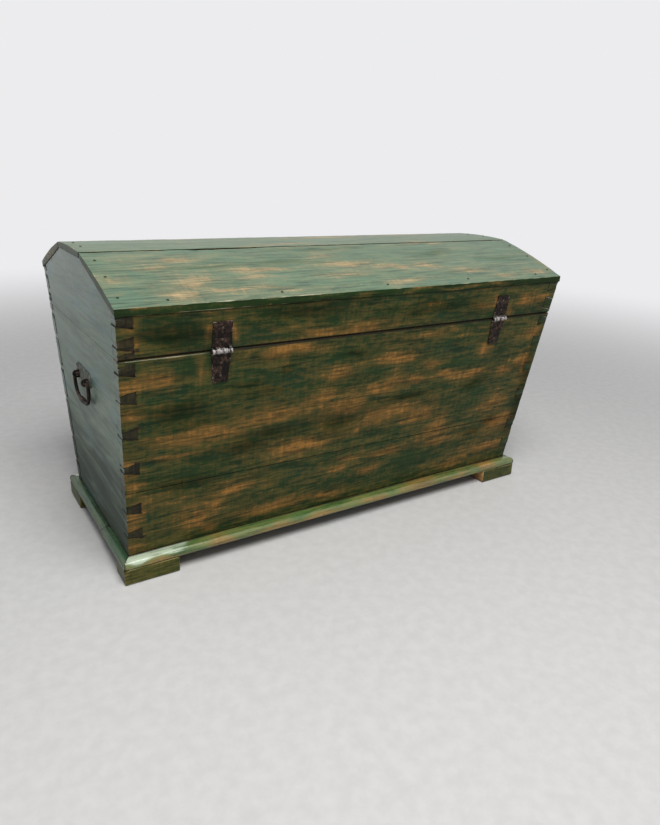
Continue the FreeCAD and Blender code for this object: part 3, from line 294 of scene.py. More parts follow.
def split_board(mesh, start, end, depth):
    """Opens a split along a line on the rear face: close cuts, the middle one pushed in."""
    first = Vector((start[0], 0, start[1])) * MM
    run = Vector((end[0], 0, end[1])) * MM - first
    across = Vector((-run.z, 0, run.x)).normalized()
    for aside in (-SPLIT_HALF_WIDTH, 0.0, SPLIT_HALF_WIDTH):
        cut(mesh, first + across * aside, across)
    groove = mesh.verts.layers.float["groove"]
    for vertex in mesh.verts:
        place = vertex.co - first
        share = place.dot(run) / run.length_squared
        on_split = abs(place.dot(across)) < ON_SPLIT and 0 < share < 1
        if on_split and vertex.normal.y < FACES_REAR:
            taper = min(1.0, share / SPLIT_TAPER, (1 - share) / SPLIT_TAPER)
            opened = taper * (0.6 + 0.5 * noise.noise(vertex.co * SPLIT_WAVES))
            vertex.co.y += depth * MM * opened
            vertex[groove] = opened


# Noise that wears a mesh down, in waves to a metre, and where it bites

WAVES = 9
NICKS = 38
CHIPS = 11
CHIP_LEVEL = 0.28
AT_EDGE = 0.5
SEED_STEPS = (3.7, 1.9, 5.3)
SEED_COUNT = 97


def wear_down(mesh, wave, chip, seed):
    """Pushes points inward: long shallow waves all over, and nicks and chips along the edges."""
    layer = mesh.verts.layers.float["edge"]
    mesh.normal_update()
    shift = Vector([seed * step for step in SEED_STEPS])
    moves = []
    for vertex in mesh.verts:
        place = vertex.co + shift
        depth = wave * (0.5 + 0.5 * noise.noise(place * WAVES))
        if vertex[layer] > AT_EDGE:
            nick = max(0.0, noise.noise(place * NICKS))
            bite = max(0.0, noise.noise(place * CHIPS) - CHIP_LEVEL) * 2
            depth += chip * (0.35 * nick + bite * (0.5 + nick))
        moves.append(vertex.normal * -depth)
    for vertex, move in zip(mesh.verts, moves):
        vertex.co += move


def finish_piece(mesh, node, name):
    """Turns a mesh into a piece that stands for a CAD node and rides on its body."""
    data = bpy.data.meshes.new(name)
    mesh.to_mesh(data)
    mesh.free()
    data.shade_smooth()
    data.set_sharp_from_angle(angle=SMOOTH)
    piece = bpy.data.objects.new(name, data)
    bpy.context.scene.collection.objects.link(piece)
    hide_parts(node)
    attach(piece, nodes[node]["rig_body"])
    return piece


def worn_copy(node, wear, extra=((), (), ())):
    """A finer, worn copy of a CAD node, with extra cuts across each axis."""
    low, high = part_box(node)
    mesh, free, joint = rounded_solid(node, wear.rounding * MM)
    for axis, step in enumerate(wear.step):
        if step:
            direction = Vector([float(axis == i) for i in range(3)])
            for place in planes(low[axis], high[axis], step * MM, extra[axis]):
                cut(mesh, direction * place, direction)
    mark(mesh, "edge", free, EDGE_REACH)
    mark(mesh, "groove", joint, GROOVE_REACH)
    mesh.normal_update()
    for board, start, end, depth in SPLITS:
        if board == node:
            split_board(mesh, start, end, depth)
    wear_down(mesh, wear.wave * MM, wear.chip * MM, seed=sum(map(ord, node)) % SEED_COUNT)
    return finish_piece(mesh, node, f"{node}_worn")


# Wear that a material reads from the mesh

RAGGED_ALONG = 9
RAGGED_ACROSS = 17
STRAY_ALONG = 30
STRAY_ACROSS = 12
APART = Vector((5, 5, 5))
PLACE_FALL = 1.4
RUBBED_AND_HIGHLIT_EDGE = 0.9
EAVE_KEPT = 0.4
# The eave's face is darker all over, less where it is rubbed.
EAVE_DARKNESS = 0.9


def patches(points, up, places):
    """How deep each point lies in a list of ragged oval places on X and one more axis, from 0 to 1."""
    stray = np.array([[noise.noise(Vector(point) * RAGGED_ALONG),
                       noise.noise(Vector(point) * RAGGED_ACROSS + APART)] for point in points])
    along_x = points[:, X] / MM + STRAY_ALONG * stray[:, 0]
    across = points[:, up] / MM + STRAY_ACROSS * stray[:, 1]
    depth = np.zeros(len(points))
    for x, middle, half_length, half_width in places:
        far = ((along_x - x) / half_length) ** 2 + ((across - middle) / half_width) ** 2
        depth = np.maximum(depth, 1 / (1 + far ** PLACE_FALL))
    return depth


def points_of(piece):
    """A piece's points, as rows of a table."""
    flat = np.zeros(len(piece.data.vertices) * 3, np.float32)
    piece.data.vertices.foreach_get("co", flat)
    return flat.reshape(-1, 3).astype(float)


def store(piece, name, values):
    """Keeps a number for each point of a piece, for its material."""
    attribute = piece.data.attributes.get(name) or piece.data.attributes.new(name, "FLOAT", "POINT")
    attribute.data.foreach_set("value", values.astype(np.float32))


def fetch(piece, name):
    """The number kept for each point of a piece."""
    values = np.zeros(len(piece.data.vertices), np.float32)
    piece.data.attributes[name].data.foreach_get("value", values)
    return values


def rub_lines(piece, node, points):
    """Blackens the seam under the lid with dirt and painted shade in the gap, and marks pale lines on the
    rear: rubbed paint, and under the seam also a painted highlight.
    """
    edge, groove = fetch(piece, "edge"), fetch(piece, "groove")
    x, z = points[:, X] / MM, points[:, Z] / MM
    # Dirt and painted shade blacken the seam's gap.
    shut = np.abs(points[:, Z] - SEAM) < SEAM_REACH
    edge[shut] = 0
    groove[shut] = 1
    # Pale lines: rubbed paint, and at the seam's lower cheek a painted highlight.
    for board, (start, stop), (low, high) in RUBBED_AND_HIGHLIT_LINES:
        if board == node:
            rubbed = (x > start) & (x < stop) & (z > low) & (z < high)
            edge[rubbed] = RUBBED_AND_HIGHLIT_EDGE
            groove[rubbed] = 0
    store(piece, "edge", edge)
    store(piece, "groove", groove)


def wall_wear(piece, node):
    """Stores where a long wall's paint is rubbed off and where it is dark, on the rear and on the front."""
    points = points_of(piece)
    rub_lines(piece, node, points)
    rear = points[:, Y] < 0
    store(piece, "worn", np.where(rear, patches(points, Z, REAR_WORN), patches(points, Z, FRONT_WORN)))
    store(piece, "dark", np.where(rear, patches(points, Z, REAR_DARK), patches(points, Z, FRONT_DARK)))


def lid_wear(piece):
    """Stores where a dome board's paint is rubbed off and dark: from above, and from the side at the eave."""
    points = points_of(piece)
    eave = np.abs(points[:, Y]) > EAVE_LINE
    rubbed = patches(points, Z, EAVE_WORN)
    store(piece, "worn", np.where(eave, rubbed - EAVE_KEPT, patches(points, Y, LID_WORN)))
    store(piece, "dark", np.where(eave, EAVE_DARKNESS - 0.5 * rubbed, patches(points, Y, LID_DARK)))


def end_wear(piece):
    """Clears the dirt and painted shade at an end's seam, which is painted over and hardly shows."""
    near_seam = np.abs(points_of(piece)[:, Z] - SEAM) < SEAM_REACH
    store(piece, "groove", np.where(near_seam, 0, fetch(piece, "groove")))


def trim_wear(piece):
    """Stores the wear of a long moulding, rubbed along the nose, and a painted highlight: pale on top at one
    end.
    """
    points = points_of(piece)
    store(piece, "worn", patches(points, Z, TRIM_WORN))
    # Painted highlight: the top of the moulding turns pale at its left end.
    store(piece, "edge", np.maximum(fetch(piece, "edge"), patches(points, Z, TRIM_PAINTED_HIGHLIGHT)))


# Materials

NOISE_GAIN = 4.0


def linear(red, green, blue):
    """A colour for a shader from its values on the usual scale of 0 to 255."""
    def one(value):
        share = value / 255
        return share / 12.92 if share <= 0.04045 else ((share + 0.055) / 1.055) ** 2.4
    return (one(red), one(green), one(blue), 1.0)


class Shader:
    """The node tree of a material or a world, with short ways to add nodes and join them."""

    def __init__(self, owner, surface="Principled BSDF", output="Material Output"):
        owner.use_nodes = True
        self.owner = owner
        self.tree = owner.node_tree
        self.surface = self.tree.nodes[surface]
        self.output = self.tree.nodes[output]

    @cached_property
    def place(self):
        """Where a point is on its piece, in metres."""
        return self.add("TexCoord").outputs["Object"]

    def add(self, kind, inputs=None, **settings):
        """Adds a node with settings, and sets or joins its inputs."""
        made = self.tree.nodes.new(f"ShaderNode{kind}")
        for name, value in settings.items():
            setattr(made, name, value)
        for key, value in (inputs or {}).items():
            self.feed(made.inputs[key], value)
        return made

    def feed(self, socket, value):
        """Sets a socket to a plain value, or joins it to another socket."""
        if isinstance(value, bpy.types.NodeSocket):
            self.tree.links.new(value, socket)
        else:
            socket.default_value = value

    def math(self, operation, first, second=0.0, clamp=False):
        """The result of one operation on two values."""
        made = self.add("Math", {0: first, 1: second}, operation=operation, use_clamp=clamp)
        return made.outputs[0]

    def multiply_add(self, value, factor, summand):
        """A value times a factor, plus a summand."""
        made = self.add("Math", {0: value, 1: factor, 2: summand}, operation="MULTIPLY_ADD")
        return made.outputs[0]

    def total(self, *terms):
        """The sum of (socket, weight) terms."""
        value = 0.0
        for socket, weight in terms:
            value = self.multiply_add(socket, weight, value)
        return value

    def attribute(self, name):
        """The number that the mesh keeps for each point."""
        return self.add("Attribute", attribute_name=name).outputs["Fac"]

    def cloud(self, per_metre, detail=4.0, roughness=0.55, shift=0.0, warp=0.0):
        """Noise from about -1 to 1 with so many waves to a metre along each axis."""
        spread = self.add("VectorMath", {0: self.place, 1: per_metre, 2: (shift, shift, shift)},
                          operation="MULTIPLY_ADD")
        made = self.add("TexNoise", {"Vector": spread.outputs[0], "Scale": 1.0, "Detail": detail,
                                     "Roughness": roughness, "Distortion": warp})
        return self.multiply_add(made.outputs["Fac"], NOISE_GAIN, -NOISE_GAIN / 2)

    def ramp(self, value, stops):
        """A smooth scale of (position, colour) stops."""
        made = self.add("ValToRGB", {"Fac": value})
        scale = made.color_ramp
        scale.interpolation = "EASE"
        while len(scale.elements) < len(stops):
            scale.elements.new(1.0)
        for element, (position, colour) in zip(scale.elements, stops):
            element.position = position
            element.color = colour
        return made.outputs["Color"]

    def between(self, value, start, stop):
        """0 at start and before it, 1 at stop and beyond it, smooth between them."""
        made = self.add("MapRange", {"Value": value, "From Min": start, "From Max": stop},
                        interpolation_type="SMOOTHSTEP")
        return made.outputs["Result"]

    def mix(self, share, first, second, blend="MIX"):
        """Two colours blended by a share of the second."""
        made = self.add("Mix", data_type="RGBA", blend_type=blend)
        self.feed(made.inputs["Factor"], share)
        self.feed(made.inputs[6], first)
        self.feed(made.inputs[7], second)
        return made.outputs[2]

    def cover(self, colour, mask, strength, top):
        """A colour with another one over it where a mask is 1, at some strength."""
        return self.mix(self.math("MULTIPLY", mask, strength), colour, top)

    def occlusion_shade(self, reach):
        """Painted shade from ambient occlusion: near 1 deep in joints and under edges, 0 on open faces."""
        made = self.add("AmbientOcclusion", {"Distance": reach}, samples=6)
        return self.math("SUBTRACT", 1.0, made.outputs["AO"], clamp=True)

    def seen(self):
        """1 where the camera, a reflection or glass looks, 0 where light is gathered."""
        rays = self.add("LightPath").outputs
        through = self.math("MAXIMUM", rays["Is Glossy Ray"], rays["Is Transmission Ray"])
        return self.math("MAXIMUM", rays["Is Camera Ray"], through)

    def bump(self, height, depth):
        """Relief of some depth in the surface."""
        made = self.add("Bump", {"Height": height, "Distance": depth, "Strength": 1.0})
        self.feed(self.surface.inputs["Normal"], made.outputs["Normal"])

    def finish(self, colour, roughness):
        """Sets the surface's colour and roughness, and gives the material."""
        self.feed(self.surface.inputs["Base Color"], colour)
        self.feed(self.surface.inputs["Roughness"], roughness)
        return self.owner

    def blend(self, share, other):
        """Shows another shader node in place of the surface, by a share."""
        blended = self.add("MixShader", {0: share, 1: self.surface.outputs[0], 2: other.outputs[0]})
        self.feed(self.output.inputs["Surface"], blended.outputs[0])


# Colours of each paint: whole, cool, worn thin, bare wood, raw wood and rubbed edges

Paint = namedtuple("Paint", "whole cool thin bare raw edge")


def palette(*colours):
    """A paint from its six colours on the scale of 0 to 255."""
    return Paint(*(linear(*colour) for colour in colours))


WALL = palette((38, 60, 28), (32, 62, 40), (80, 75, 37), (114, 88, 44), (154, 110, 53), (156, 148, 124))
# The end paint is the green paint with a painted reflection: its pale, bluish sheen stands for a bright
# surround reflected in it.
END = palette((107, 130, 114), (101, 139, 140), (126, 141, 124), (144, 138, 116), (164, 148, 116),
              (150, 152, 130))
LID = palette((92, 116, 90), (84, 118, 101), (112, 120, 92), (148, 134, 98), (176, 152, 112), (204, 198, 168))
# The long trim's whitish edge colour also draws the painted highlight on the moulding's top at the left end.
TRIM = palette((84, 114, 60), (88, 122, 80), (112, 118, 64), (134, 114, 60), (162, 128, 70), (188, 202, 178))
SIDE_TRIM = palette((56, 88, 58), (52, 90, 74), (82, 98, 62), (112, 104, 64), (140, 118, 72), (128, 150, 118))
DOME_END = palette((66, 80, 60), (66, 88, 78), (92, 90, 66), (122, 106, 78), (150, 128, 94), (150, 146, 116))
FOOT = palette((54, 66, 25), (50, 72, 36), (86, 83, 38), (110, 92, 44), (140, 110, 55), (160, 144, 94))
END_GRAIN = palette((40, 40, 27), (31, 36, 29), (56, 51, 31), (84, 66, 38), (114, 87, 52), (116, 96, 62))
SOOT_AND_SHADE = linear(24, 22, 16)
DUST_AND_SHADE = linear(48, 36, 24)
GRAIN_SHADE = linear(158, 158, 152)
WHITE = linear(255, 255, 255)
PINE_STOPS = [(0.05, linear(92, 62, 34)), (0.4, linear(146, 106, 62)), (0.7, linear(178, 136, 84)),
              (1.0, linear(196, 158, 106))]

# Heights of painted shade towards the foot, reaches of dirt and painted shade in crevices, depths of relief,
# and how surfaces shine

FOOT_SHADE_TOP = 400 * MM
FOOT_SHADE_BOTTOM = 115 * MM
PAINT_SHADE_REACH = 8 * MM
PINE_SHADE_REACH = 30 * MM
PAINT_RELIEF = 0.16 * MM
PINE_RELIEF = 0.5 * MM
IRON_RELIEF = 0.2 * MM
COAT_ROUGHNESS = 0.12
PINE_ROUGHNESS = 0.68
IRON_SHINE = 0.15

Grain = namedtuple("Grain", "fine middle streak blotch cool veil hatch grit")


def along(axis, lengthwise, across):
    """Waves to a metre along the grain and across it."""
    return tuple(lengthwise if i == axis else across for i in range(3))


def paint_grain(shader, axis):
    """Noise of several sizes, most of it drawn out along the grain."""
    return Grain(
        fine=shader.cloud(along(axis, 11, 180), detail=5, roughness=0.65),
        middle=shader.cloud(along(axis, 15, 56), detail=5, roughness=0.62, shift=7.0, warp=0.6),
        streak=shader.cloud(along(axis, 2.6, 30), detail=5, shift=13.0, warp=0.5),
        blotch=shader.cloud(along(axis, 6, 15), detail=6, roughness=0.6, shift=3.0, warp=0.7),
        cool=shader.cloud(along(axis, 5, 16), detail=4, shift=11.0, warp=0.5),
        veil=shader.cloud(along(axis, 4, 34), detail=5, shift=17.0, warp=0.6),
        hatch=shader.cloud(along(axis, 150, 18), detail=2, shift=5.0),
        grit=shader.cloud(along(axis, 48, 130), detail=5, roughness=0.7, shift=29.0, warp=0.4),
    )


def rub_through(shader, grain, paint, rubbed, speck):
    """Paint that rubbing wears thin, then down to bare wood and last to raw wood."""
    colour = shader.mix(shader.between(grain.cool, 0.0, 1.0), paint.whole, paint.cool)
    colour = shader.mix(shader.between(rubbed, -0.15, 0.6), colour, paint.thin)
    colour = shader.mix(shader.between(rubbed, 0.5, 1.15), colour, paint.bare)
    core = shader.total((rubbed, 1.0), (grain.fine, 0.4), (grain.hatch, 0.3), (grain.streak, 0.25),
                        (grain.grit, speck))
    return shader.mix(shader.between(core, 1.15, 2.1), colour, paint.raw)


def blacken(shader, grain, colour, dark, soot, speck):
    """Adds soot in the dark places, shaded lines along the grain, and black flecks."""
    smoke = shader.total((dark, 1.1), (grain.veil, 0.75), (grain.fine, 0.4), (grain.blotch, -0.2))
    colour = shader.cover(colour, shader.between(smoke, 0.15, 1.4), soot, SOOT_AND_SHADE)
    lines = shader.between(shader.total((grain.fine, 0.7), (grain.middle, 0.3)), -0.9, 0.45)
    colour = shader.mix(1.0, colour, shader.mix(lines, GRAIN_SHADE, WHITE), "MULTIPLY")
    flecks = shader.between(shader.total((grain.grit, -1.0), (grain.fine, -0.5)), 0.35, 1.1)
    return shader.cover(colour, flecks, 2.2 * speck, SOOT_AND_SHADE)


def wear_edges(shader, grain, colour, paint):
    """Adds pale rubbed edges and painted highlights, nicks down to raw wood, and dirt and painted shade in
    joints and corners.
    """
    edge = shader.attribute("edge")
    corner = shader.total((shader.math("POWER", edge, 3.0), 1.15), (grain.fine, 0.35), (grain.blotch, 0.5))
    colour = shader.cover(colour, shader.between(corner, 0.6, 1.2), 0.9, paint.edge)
    nick = shader.total((shader.cloud((70, 70, 110), detail=2, shift=23.0), 1.0), (edge, 0.3))
    colour = shader.cover(colour, shader.between(nick, 1.1, 1.3), 0.7, paint.raw)
    groove = shader.math("POWER", shader.attribute("groove"), 2.0)
    # Dirt and painted shade in joints, the seam and splits, and painted shade from ambient occlusion in
    # crevices.
    dirt_and_shade = shader.total((groove, 1.0), (grain.blotch, 0.25), (grain.fine, 0.2),
                        (shader.occlusion_shade(PAINT_SHADE_REACH), 0.7))
    return shader.cover(colour, shader.between(dirt_and_shade, 0.4, 1.0), 0.9, SOOT_AND_SHADE)


def painted(name, axis, paint, worn=0.0, gloss=0.45, shine=0.3, soot=0.7, patch=1.5, speck=0.2, coat=0.0,
            foot_shade=0.0):
    """Paint rubbed down to the wood along the grain.

    worn moves the balance towards bare wood, patch is the weight of the worn places, soot that of the dark
    ones, speck that of the finest marks, and foot_shade that of painted shade that darkens the paint towards
    the foot. gloss is the base roughness, shine the strength of reflections and coat the weight of a clear
    layer of wax.
    """
    shader = Shader(bpy.data.materials.new(name))
    grain = paint_grain(shader, axis)
    rubbed = shader.total((shader.attribute("worn"), patch), (grain.blotch, 0.4), (grain.middle, 0.36),
                          (grain.streak, 0.24), (grain.fine, 0.32), (grain.hatch, 0.24),
                          (grain.grit, 1.7 * speck))
    rubbed = shader.math("ADD", rubbed, worn)
    dark = shader.attribute("dark")
    # Painted shade: the paint darkens towards the foot, standing in for the dimmer reflection of the floor
    # low down.
    if foot_shade:
        height = shader.add("SeparateXYZ", {0: shader.place}).outputs["Z"]
        dark = shader.total((dark, 0.3), (shader.between(height, FOOT_SHADE_TOP, FOOT_SHADE_BOTTOM), foot_shade))
    colour = rub_through(shader, grain, paint, rubbed, speck)
    colour = blacken(shader, grain, colour, dark, soot, speck)
    colour = wear_edges(shader, grain, colour, paint)
    shader.bump(shader.total((grain.fine, 1.0), (grain.middle, 0.6), (grain.hatch, 0.3)), PAINT_RELIEF)
    clean = shader.between(dark, 1.8, 0.0)
    shader.feed(shader.surface.inputs["Specular IOR Level"], shader.math("MULTIPLY", clean, shine))
    shader.feed(shader.surface.inputs["Coat Weight"], coat)
    shader.feed(shader.surface.inputs["Coat Roughness"], COAT_ROUGHNESS)
    roughness = shader.total((grain.fine, 0.05), (rubbed, 0.05), (grain.veil, 0.05), (dark, 0.15))
    return shader.finish(colour, shader.math("ADD", roughness, gloss, clamp=True))


def bare_pine(name, axis):
    """Unpainted boards, brown with age: growth rings along the board, and dust with painted shade in the
    corners.
    """
    shader = Shader(bpy.data.materials.new(name))
    fine = shader.cloud(along(axis, 9, 190), detail=5, roughness=0.65)
    rings = shader.cloud(along(axis, 1.4, 42), detail=3, shift=4.0, warp=1.2)
    stain = shader.cloud(along(axis, 3, 6), detail=3, shift=9.0)
    value = shader.total((fine, 0.15), (rings, 0.32), (stain, 0.12))
    colour = shader.ramp(shader.math("ADD", value, 0.5, clamp=True), PINE_STOPS)
    # Dust with painted shade where ambient occlusion finds a corner.
    dirt_and_shade = shader.between(shader.occlusion_shade(PINE_SHADE_REACH), 0.25, 0.9)
    colour = shader.cover(colour, dirt_and_shade, 0.6, DUST_AND_SHADE)
    shader.bump(value, PINE_RELIEF)
    return shader.finish(colour, shader.math("ADD", shader.total((fine, 0.05)), PINE_ROUGHNESS, clamp=True))


def iron(name, dark, rust, bright, rusty=0.0, metal=0.0, gloss=0.5):
    """Old iron: dark scale, rust in patches, worn bright along the edges; gloss is the base roughness."""
    shader = Shader(bpy.data.materials.new(name))
    rough = shader.cloud((300, 300, 300), detail=5, roughness=0.65)
    spots = shader.cloud((90, 90, 90), detail=5, roughness=0.6, shift=5.0)
    patch = shader.total((spots, 0.6), (rough, 0.4))
    colour = shader.mix(shader.between(patch, -0.2 - rusty, 0.8 - rusty), linear(*dark), linear(*rust))
    pits = shader.between(shader.total((rough, 0.7), (spots, -0.3)), 0.2, 0.7)
    colour = shader.cover(colour, pits, 0.7, SOOT_AND_SHADE)
    shine = shader.total((shader.attribute("edge"), 0.5), (shader.attribute("bright"), 0.6), (rough, 0.35),
                         (spots, 0.3))
    colour = shader.mix(shader.between(shine, 0.5, 1.0), colour, linear(*bright))
    shader.bump(shader.total((rough, 1.0), (spots, 1.5)), IRON_RELIEF)
    shader.feed(shader.surface.inputs["Metallic"], metal)
    shader.feed(shader.surface.inputs["Specular IOR Level"], IRON_SHINE)
    return shader.finish(colour, shader.math("ADD", shader.total((rough, 0.08)), gloss, clamp=True))


wall_paint = painted("wall_paint", X, WALL, worn=0.12, shine=0.14, soot=0.55, patch=1.3, speck=0.34)
end_grain_paint = painted("end_grain_paint", Z, END_GRAIN, worn=0.3, shine=0.14, soot=0.4, patch=0.5)
# The end panels get painted shade that darkens them towards the foot.
end_paint = painted("end_paint", Y, END, worn=-0.05, gloss=0.36, shine=0.5, soot=0.75, patch=0.5, speck=0.1,
                    foot_shade=1.2)
lid_paint = painted("lid_paint", X, LID, worn=0.05, gloss=0.42, shine=0.4, soot=0.25, patch=1.1)
dome_end_paint = painted("dome_end_paint", Y, DOME_END, worn=-0.1, gloss=0.5, soot=0.4)
long_trim_paint = painted("long_trim_paint", X, TRIM, gloss=0.3, shine=0.5, soot=0.3, coat=0.35)
end_trim_paint = painted("end_trim_paint", Y, SIDE_TRIM, gloss=0.3, shine=0.4, soot=0.4)
long_foot_paint = painted("long_foot_paint", X, FOOT, worn=0.2, gloss=0.4, shine=0.18, soot=0.3)
end_foot_paint = painted("end_foot_paint", Y, FOOT, worn=0.2, gloss=0.4, shine=0.18, soot=0.3)
long_pine = bare_pine("long_pine", X)
end_pine = bare_pine("end_pine", Y)
plate_iron = iron("plate_iron", (70, 72, 66), (118, 122, 113), (160, 162, 156), rusty=0.3)
forged_iron = iron("forged_iron", (16, 12, 10), (92, 70, 58), (170, 164, 160), metal=0.1)
nail_iron = iron("nail_iron", (72, 64, 58), (100, 74, 56), (130, 122, 114), rusty=0.2, metal=0.3, gloss=0.6)
lid_nail_iron = iron("lid_nail_iron", (52, 60, 44), (78, 74, 54), (108, 116, 92), gloss=0.6)
lock_iron = iron("lock_iron", (62, 58, 54), (92, 66, 48), (138, 132, 124), metal=0.5, gloss=0.42)


# Wooden pieces, with the material of each face chosen from a share of its direction

OUTSIDE = 0.35
AT_END = 0.6
SQUARE = 0.8
UPWARD = -0.1
DOWNWARD = -0.5
INWARD = -0.5


def joined_to(node):
    """The wooden pieces beside a node that never move away from it."""
    return [other for other in neighbours(node) if nodes[other]["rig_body"] == nodes[node]["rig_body"]]


def dress(piece, choose, materials, beside=()):
    """Gives each face one of some materials; faces against boards beside the piece get the last one."""
    for material in materials:
        piece.data.materials.append(material)
    for face in piece.data.polygons:
        shut = in_joint(face.center, beside)
        face.material_index = len(materials) - 1 if shut else choose(face.normal, face.center)


def wall_side(normal, through, lengthwise, outward):
    """Which material a wall's face gets: 0 outside, 2 at the ends of the board, 1 elsewhere."""
    if normal[through] * outward > OUTSIDE:
        return 0
    return 2 if abs(normal[lengthwise]) > AT_END else 1


def dome_side(normal, centre):
    """Which material a dome board's face gets: 0 above, 1 below, 2 at the eave, 3 at an end, 4 in a joint."""
    if abs(normal.y) > SQUARE:
        return 2 if abs(centre.y) > EAVE_LINE else 4
    if abs(normal.x) > SQUARE:
        return 3
    return 0 if normal.z > UPWARD else 1


def foot_side(normal, centre):
    """Which material a foot's face gets: 0 along the trunk, 1 across it, 2 towards its middle."""
    if normal.x * centre.x < INWARD * abs(centre.x):
        return 2
    return 0 if abs(normal.y) > abs(normal.x) else 1


def floor_side(normal, centre):
    """Which material a floor board's face gets: 1 below, a dark paint that is painted shade under the trunk,
    0 elsewhere.
    """
    return 1 if normal.z < DOWNWARD else 0


for node in LONG_WALLS:
    outward = -1 if "rear" in node else 1
    board = worn_copy(node, LONG_WALL_WEAR, (HINGE_CUTS, (), SEAM_CUTS))
    wall_wear(board, node)
    dress(board, lambda normal, centre: wall_side(normal, Y, X, outward),
          [wall_paint, long_pine, end_paint, end_grain_paint], joined_to(node))

for node in END_WALLS:
    outward = -1 if "left" in node else 1
    edge_paint = end_grain_paint if outward < 0 else wall_paint
    panel = worn_copy(node, END_WALL_WEAR)
    end_wear(panel)
    dress(panel, lambda normal, centre: wall_side(normal, X, Y, outward),
          [end_paint, end_pine, edge_paint, end_grain_paint], joined_to(node))

for node in DOME_BOARDS:
    board = worn_copy(node, DOME_WEAR, ((), (), EAVE_CUTS))
    lid_wear(board)
    dress(board, dome_side, [lid_paint, long_pine, wall_paint, dome_end_paint, end_grain_paint],
          joined_to(node))

for node in LONG_TRIM:
    moulding = worn_copy(node, LONG_TRIM_WEAR)
    trim_wear(moulding)
    moulding.data.materials.append(long_trim_paint)

for node in END_TRIM:
    moulding = worn_copy(node, END_TRIM_WEAR)
    moulding.data.materials.append(end_trim_paint)

for node in FEET:
    foot = worn_copy(node, FOOT_WEAR)
    dress(foot, foot_side, [long_foot_paint, end_foot_paint, end_pine])

for node in FLOOR_BOARDS:
    board = worn_copy(node, FLOOR_WEAR)
    # The dark undersides are painted shade: they darken the floor's shadow under the trunk.
    dress(board, floor_side, [long_pine, end_grain_paint])


# Iron pieces

BRIGHT_REACH = 9 * MM
BRIGHT_FADE = 4 * MM


def knuckle_shine(piece):
    """Stores how near each point is to its hinge's knuckles, which rubbing has brightened."""
    hinge = next(joint for joint in frame["joints"] if joint["name"] == "lid_hinge")
    points = points_of(piece)
    away = np.hypot(points[:, Y] - hinge["pos_m"][Y], points[:, Z] - hinge["pos_m"][Z])
    store(piece, "bright", np.clip((BRIGHT_REACH - away) / BRIGHT_FADE, 0, 1))


for node in HINGE_LEAVES:
    leaf = worn_copy(node, LEAF_WEAR)
    knuckle_shine(leaf)
    leaf.data.materials.append(forged_iron)

for node in HANDLE_PLATES:
    plate = worn_copy(node, HANDLE_WEAR)
    plate.data.materials.append(plate_iron)

for node in BAILS:
    bail = worn_copy(node, HANDLE_WEAR)
    bail.data.materials.append(forged_iron)

for node in LOCK_IRON:
    lock_piece = worn_copy(node, LOCK_WEAR)
    lock_piece.data.materials.append(lock_iron)

# Nails, screws, staples and hinge pins, which keep the shape of the solids

for node, thing in nodes.items():
    if not thing.hide_render:
        forged = "staples" in node or "hinge_pin" in node
        small_iron = lid_nail_iron if node == "dome_nails" else nail_iron
        thing.data.materials.clear()
        thing.data.materials.append(forged_iron if forged else small_iron)


# Floor, light and camera

FLOOR_RADIUS = 14.0
FLOOR_SHADES = (linear(196, 195, 193), linear(204, 203, 201))
FLOOR_ROUGHNESS = 0.8
FADE_START = 1.1
FADE_END = 4.2
SURROUND_COLOUR = linear(236, 236, 238)
SKY_COLOUR = linear(250, 250, 255)
SKY_STRENGTH = 0.3
LAMP_PLACE = Vector((-0.5, -1.6, 2.9))
LAMP_TARGET = Vector((0, 0, 0.4))
LAMP_SIZE = 1.6
LAMP_WATTS = 100
CAMERA_PLACE = Vector((-0.8466, -1.3849, 0.8129))
CAMERA_AIM = Vector((0.5184, 0.7804, -0.3495))
CAMERA_RIGHT = Vector((0.8408, -0.5396, 0.0421))
CAMERA_LENS = 28.97
CAMERA_SENSOR = 36.0


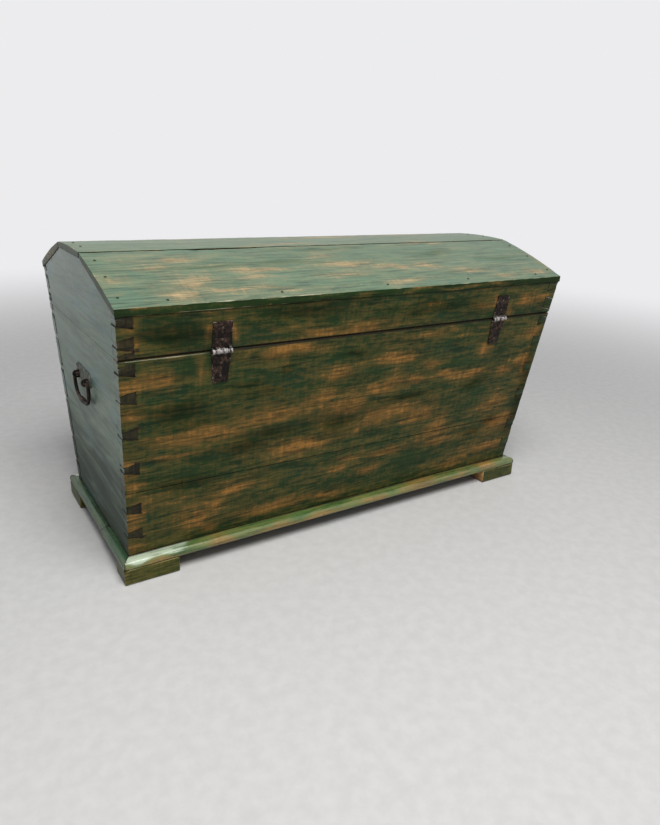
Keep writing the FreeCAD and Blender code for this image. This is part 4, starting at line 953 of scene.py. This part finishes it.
def studio_floor():
    """A pale floor that fades to a white surround away from the trunk."""
    mesh = bmesh.new()
    bmesh.ops.create_circle(mesh, cap_ends=True, radius=FLOOR_RADIUS, segments=96)
    data = bpy.data.meshes.new("floor")
    mesh.to_mesh(data)
    mesh.free()
    floor = bpy.data.objects.new("floor", data)
    bpy.context.scene.collection.objects.link(floor)
    shader = Shader(bpy.data.materials.new("floor_paint"))
    grain = shader.cloud((40, 40, 40), detail=5)
    shader.finish(shader.mix(shader.between(grain, -1.0, 1.0), *FLOOR_SHADES), FLOOR_ROUGHNESS)
    distance = shader.add("VectorMath", {0: shader.place}, operation="LENGTH").outputs["Value"]
    fade = shader.math("MULTIPLY", shader.between(distance, FADE_START, FADE_END), shader.seen())
    shader.blend(fade, shader.add("Emission", {"Color": SURROUND_COLOUR, "Strength": 1.0}))
    floor.data.materials.append(shader.owner)


def surround():
    """Even light from all round, and a white surround where the camera or a reflection sees it."""
    world = bpy.data.worlds.new("surround")
    bpy.context.scene.world = world
    shader = Shader(world, "Background", "World Output")
    shader.feed(shader.surface.inputs["Color"], SKY_COLOUR)
    shader.feed(shader.surface.inputs["Strength"], SKY_STRENGTH)
    shader.blend(shader.seen(), shader.add("Background", {"Color": SURROUND_COLOUR, "Strength": 1.0}))


def soft_lamp():
    """A large square lamp high above the camera, pointed at the trunk."""
    data = bpy.data.lights.new("overhead", "AREA")
    data.shape = "SQUARE"
    data.size = LAMP_SIZE
    data.energy = LAMP_WATTS
    lamp = bpy.data.objects.new("overhead", data)
    bpy.context.scene.collection.objects.link(lamp)
    lamp.location = LAMP_PLACE
    lamp.rotation_euler = (LAMP_TARGET - LAMP_PLACE).to_track_quat("-Z", "Y").to_euler()


def photo_camera():
    """The camera where it stood: a wide lens about 0.8 m up, rolled a little."""
    data = bpy.data.cameras.new("camera")
    data.lens = CAMERA_LENS
    data.sensor_width = CAMERA_SENSOR
    data.sensor_fit = "AUTO"
    camera = bpy.data.objects.new("camera", data)
    bpy.context.scene.collection.objects.link(camera)
    back = -CAMERA_AIM.normalized()
    right = (CAMERA_RIGHT - back * CAMERA_RIGHT.dot(back)).normalized()
    turn = Matrix((right, back.cross(right), back)).transposed()
    camera.matrix_world = Matrix.Translation(CAMERA_PLACE) @ turn.to_4x4()
    bpy.context.scene.camera = camera


studio_floor()
surround()
soft_lamp()
photo_camera()
bpy.context.scene.view_settings.view_transform = "Standard"
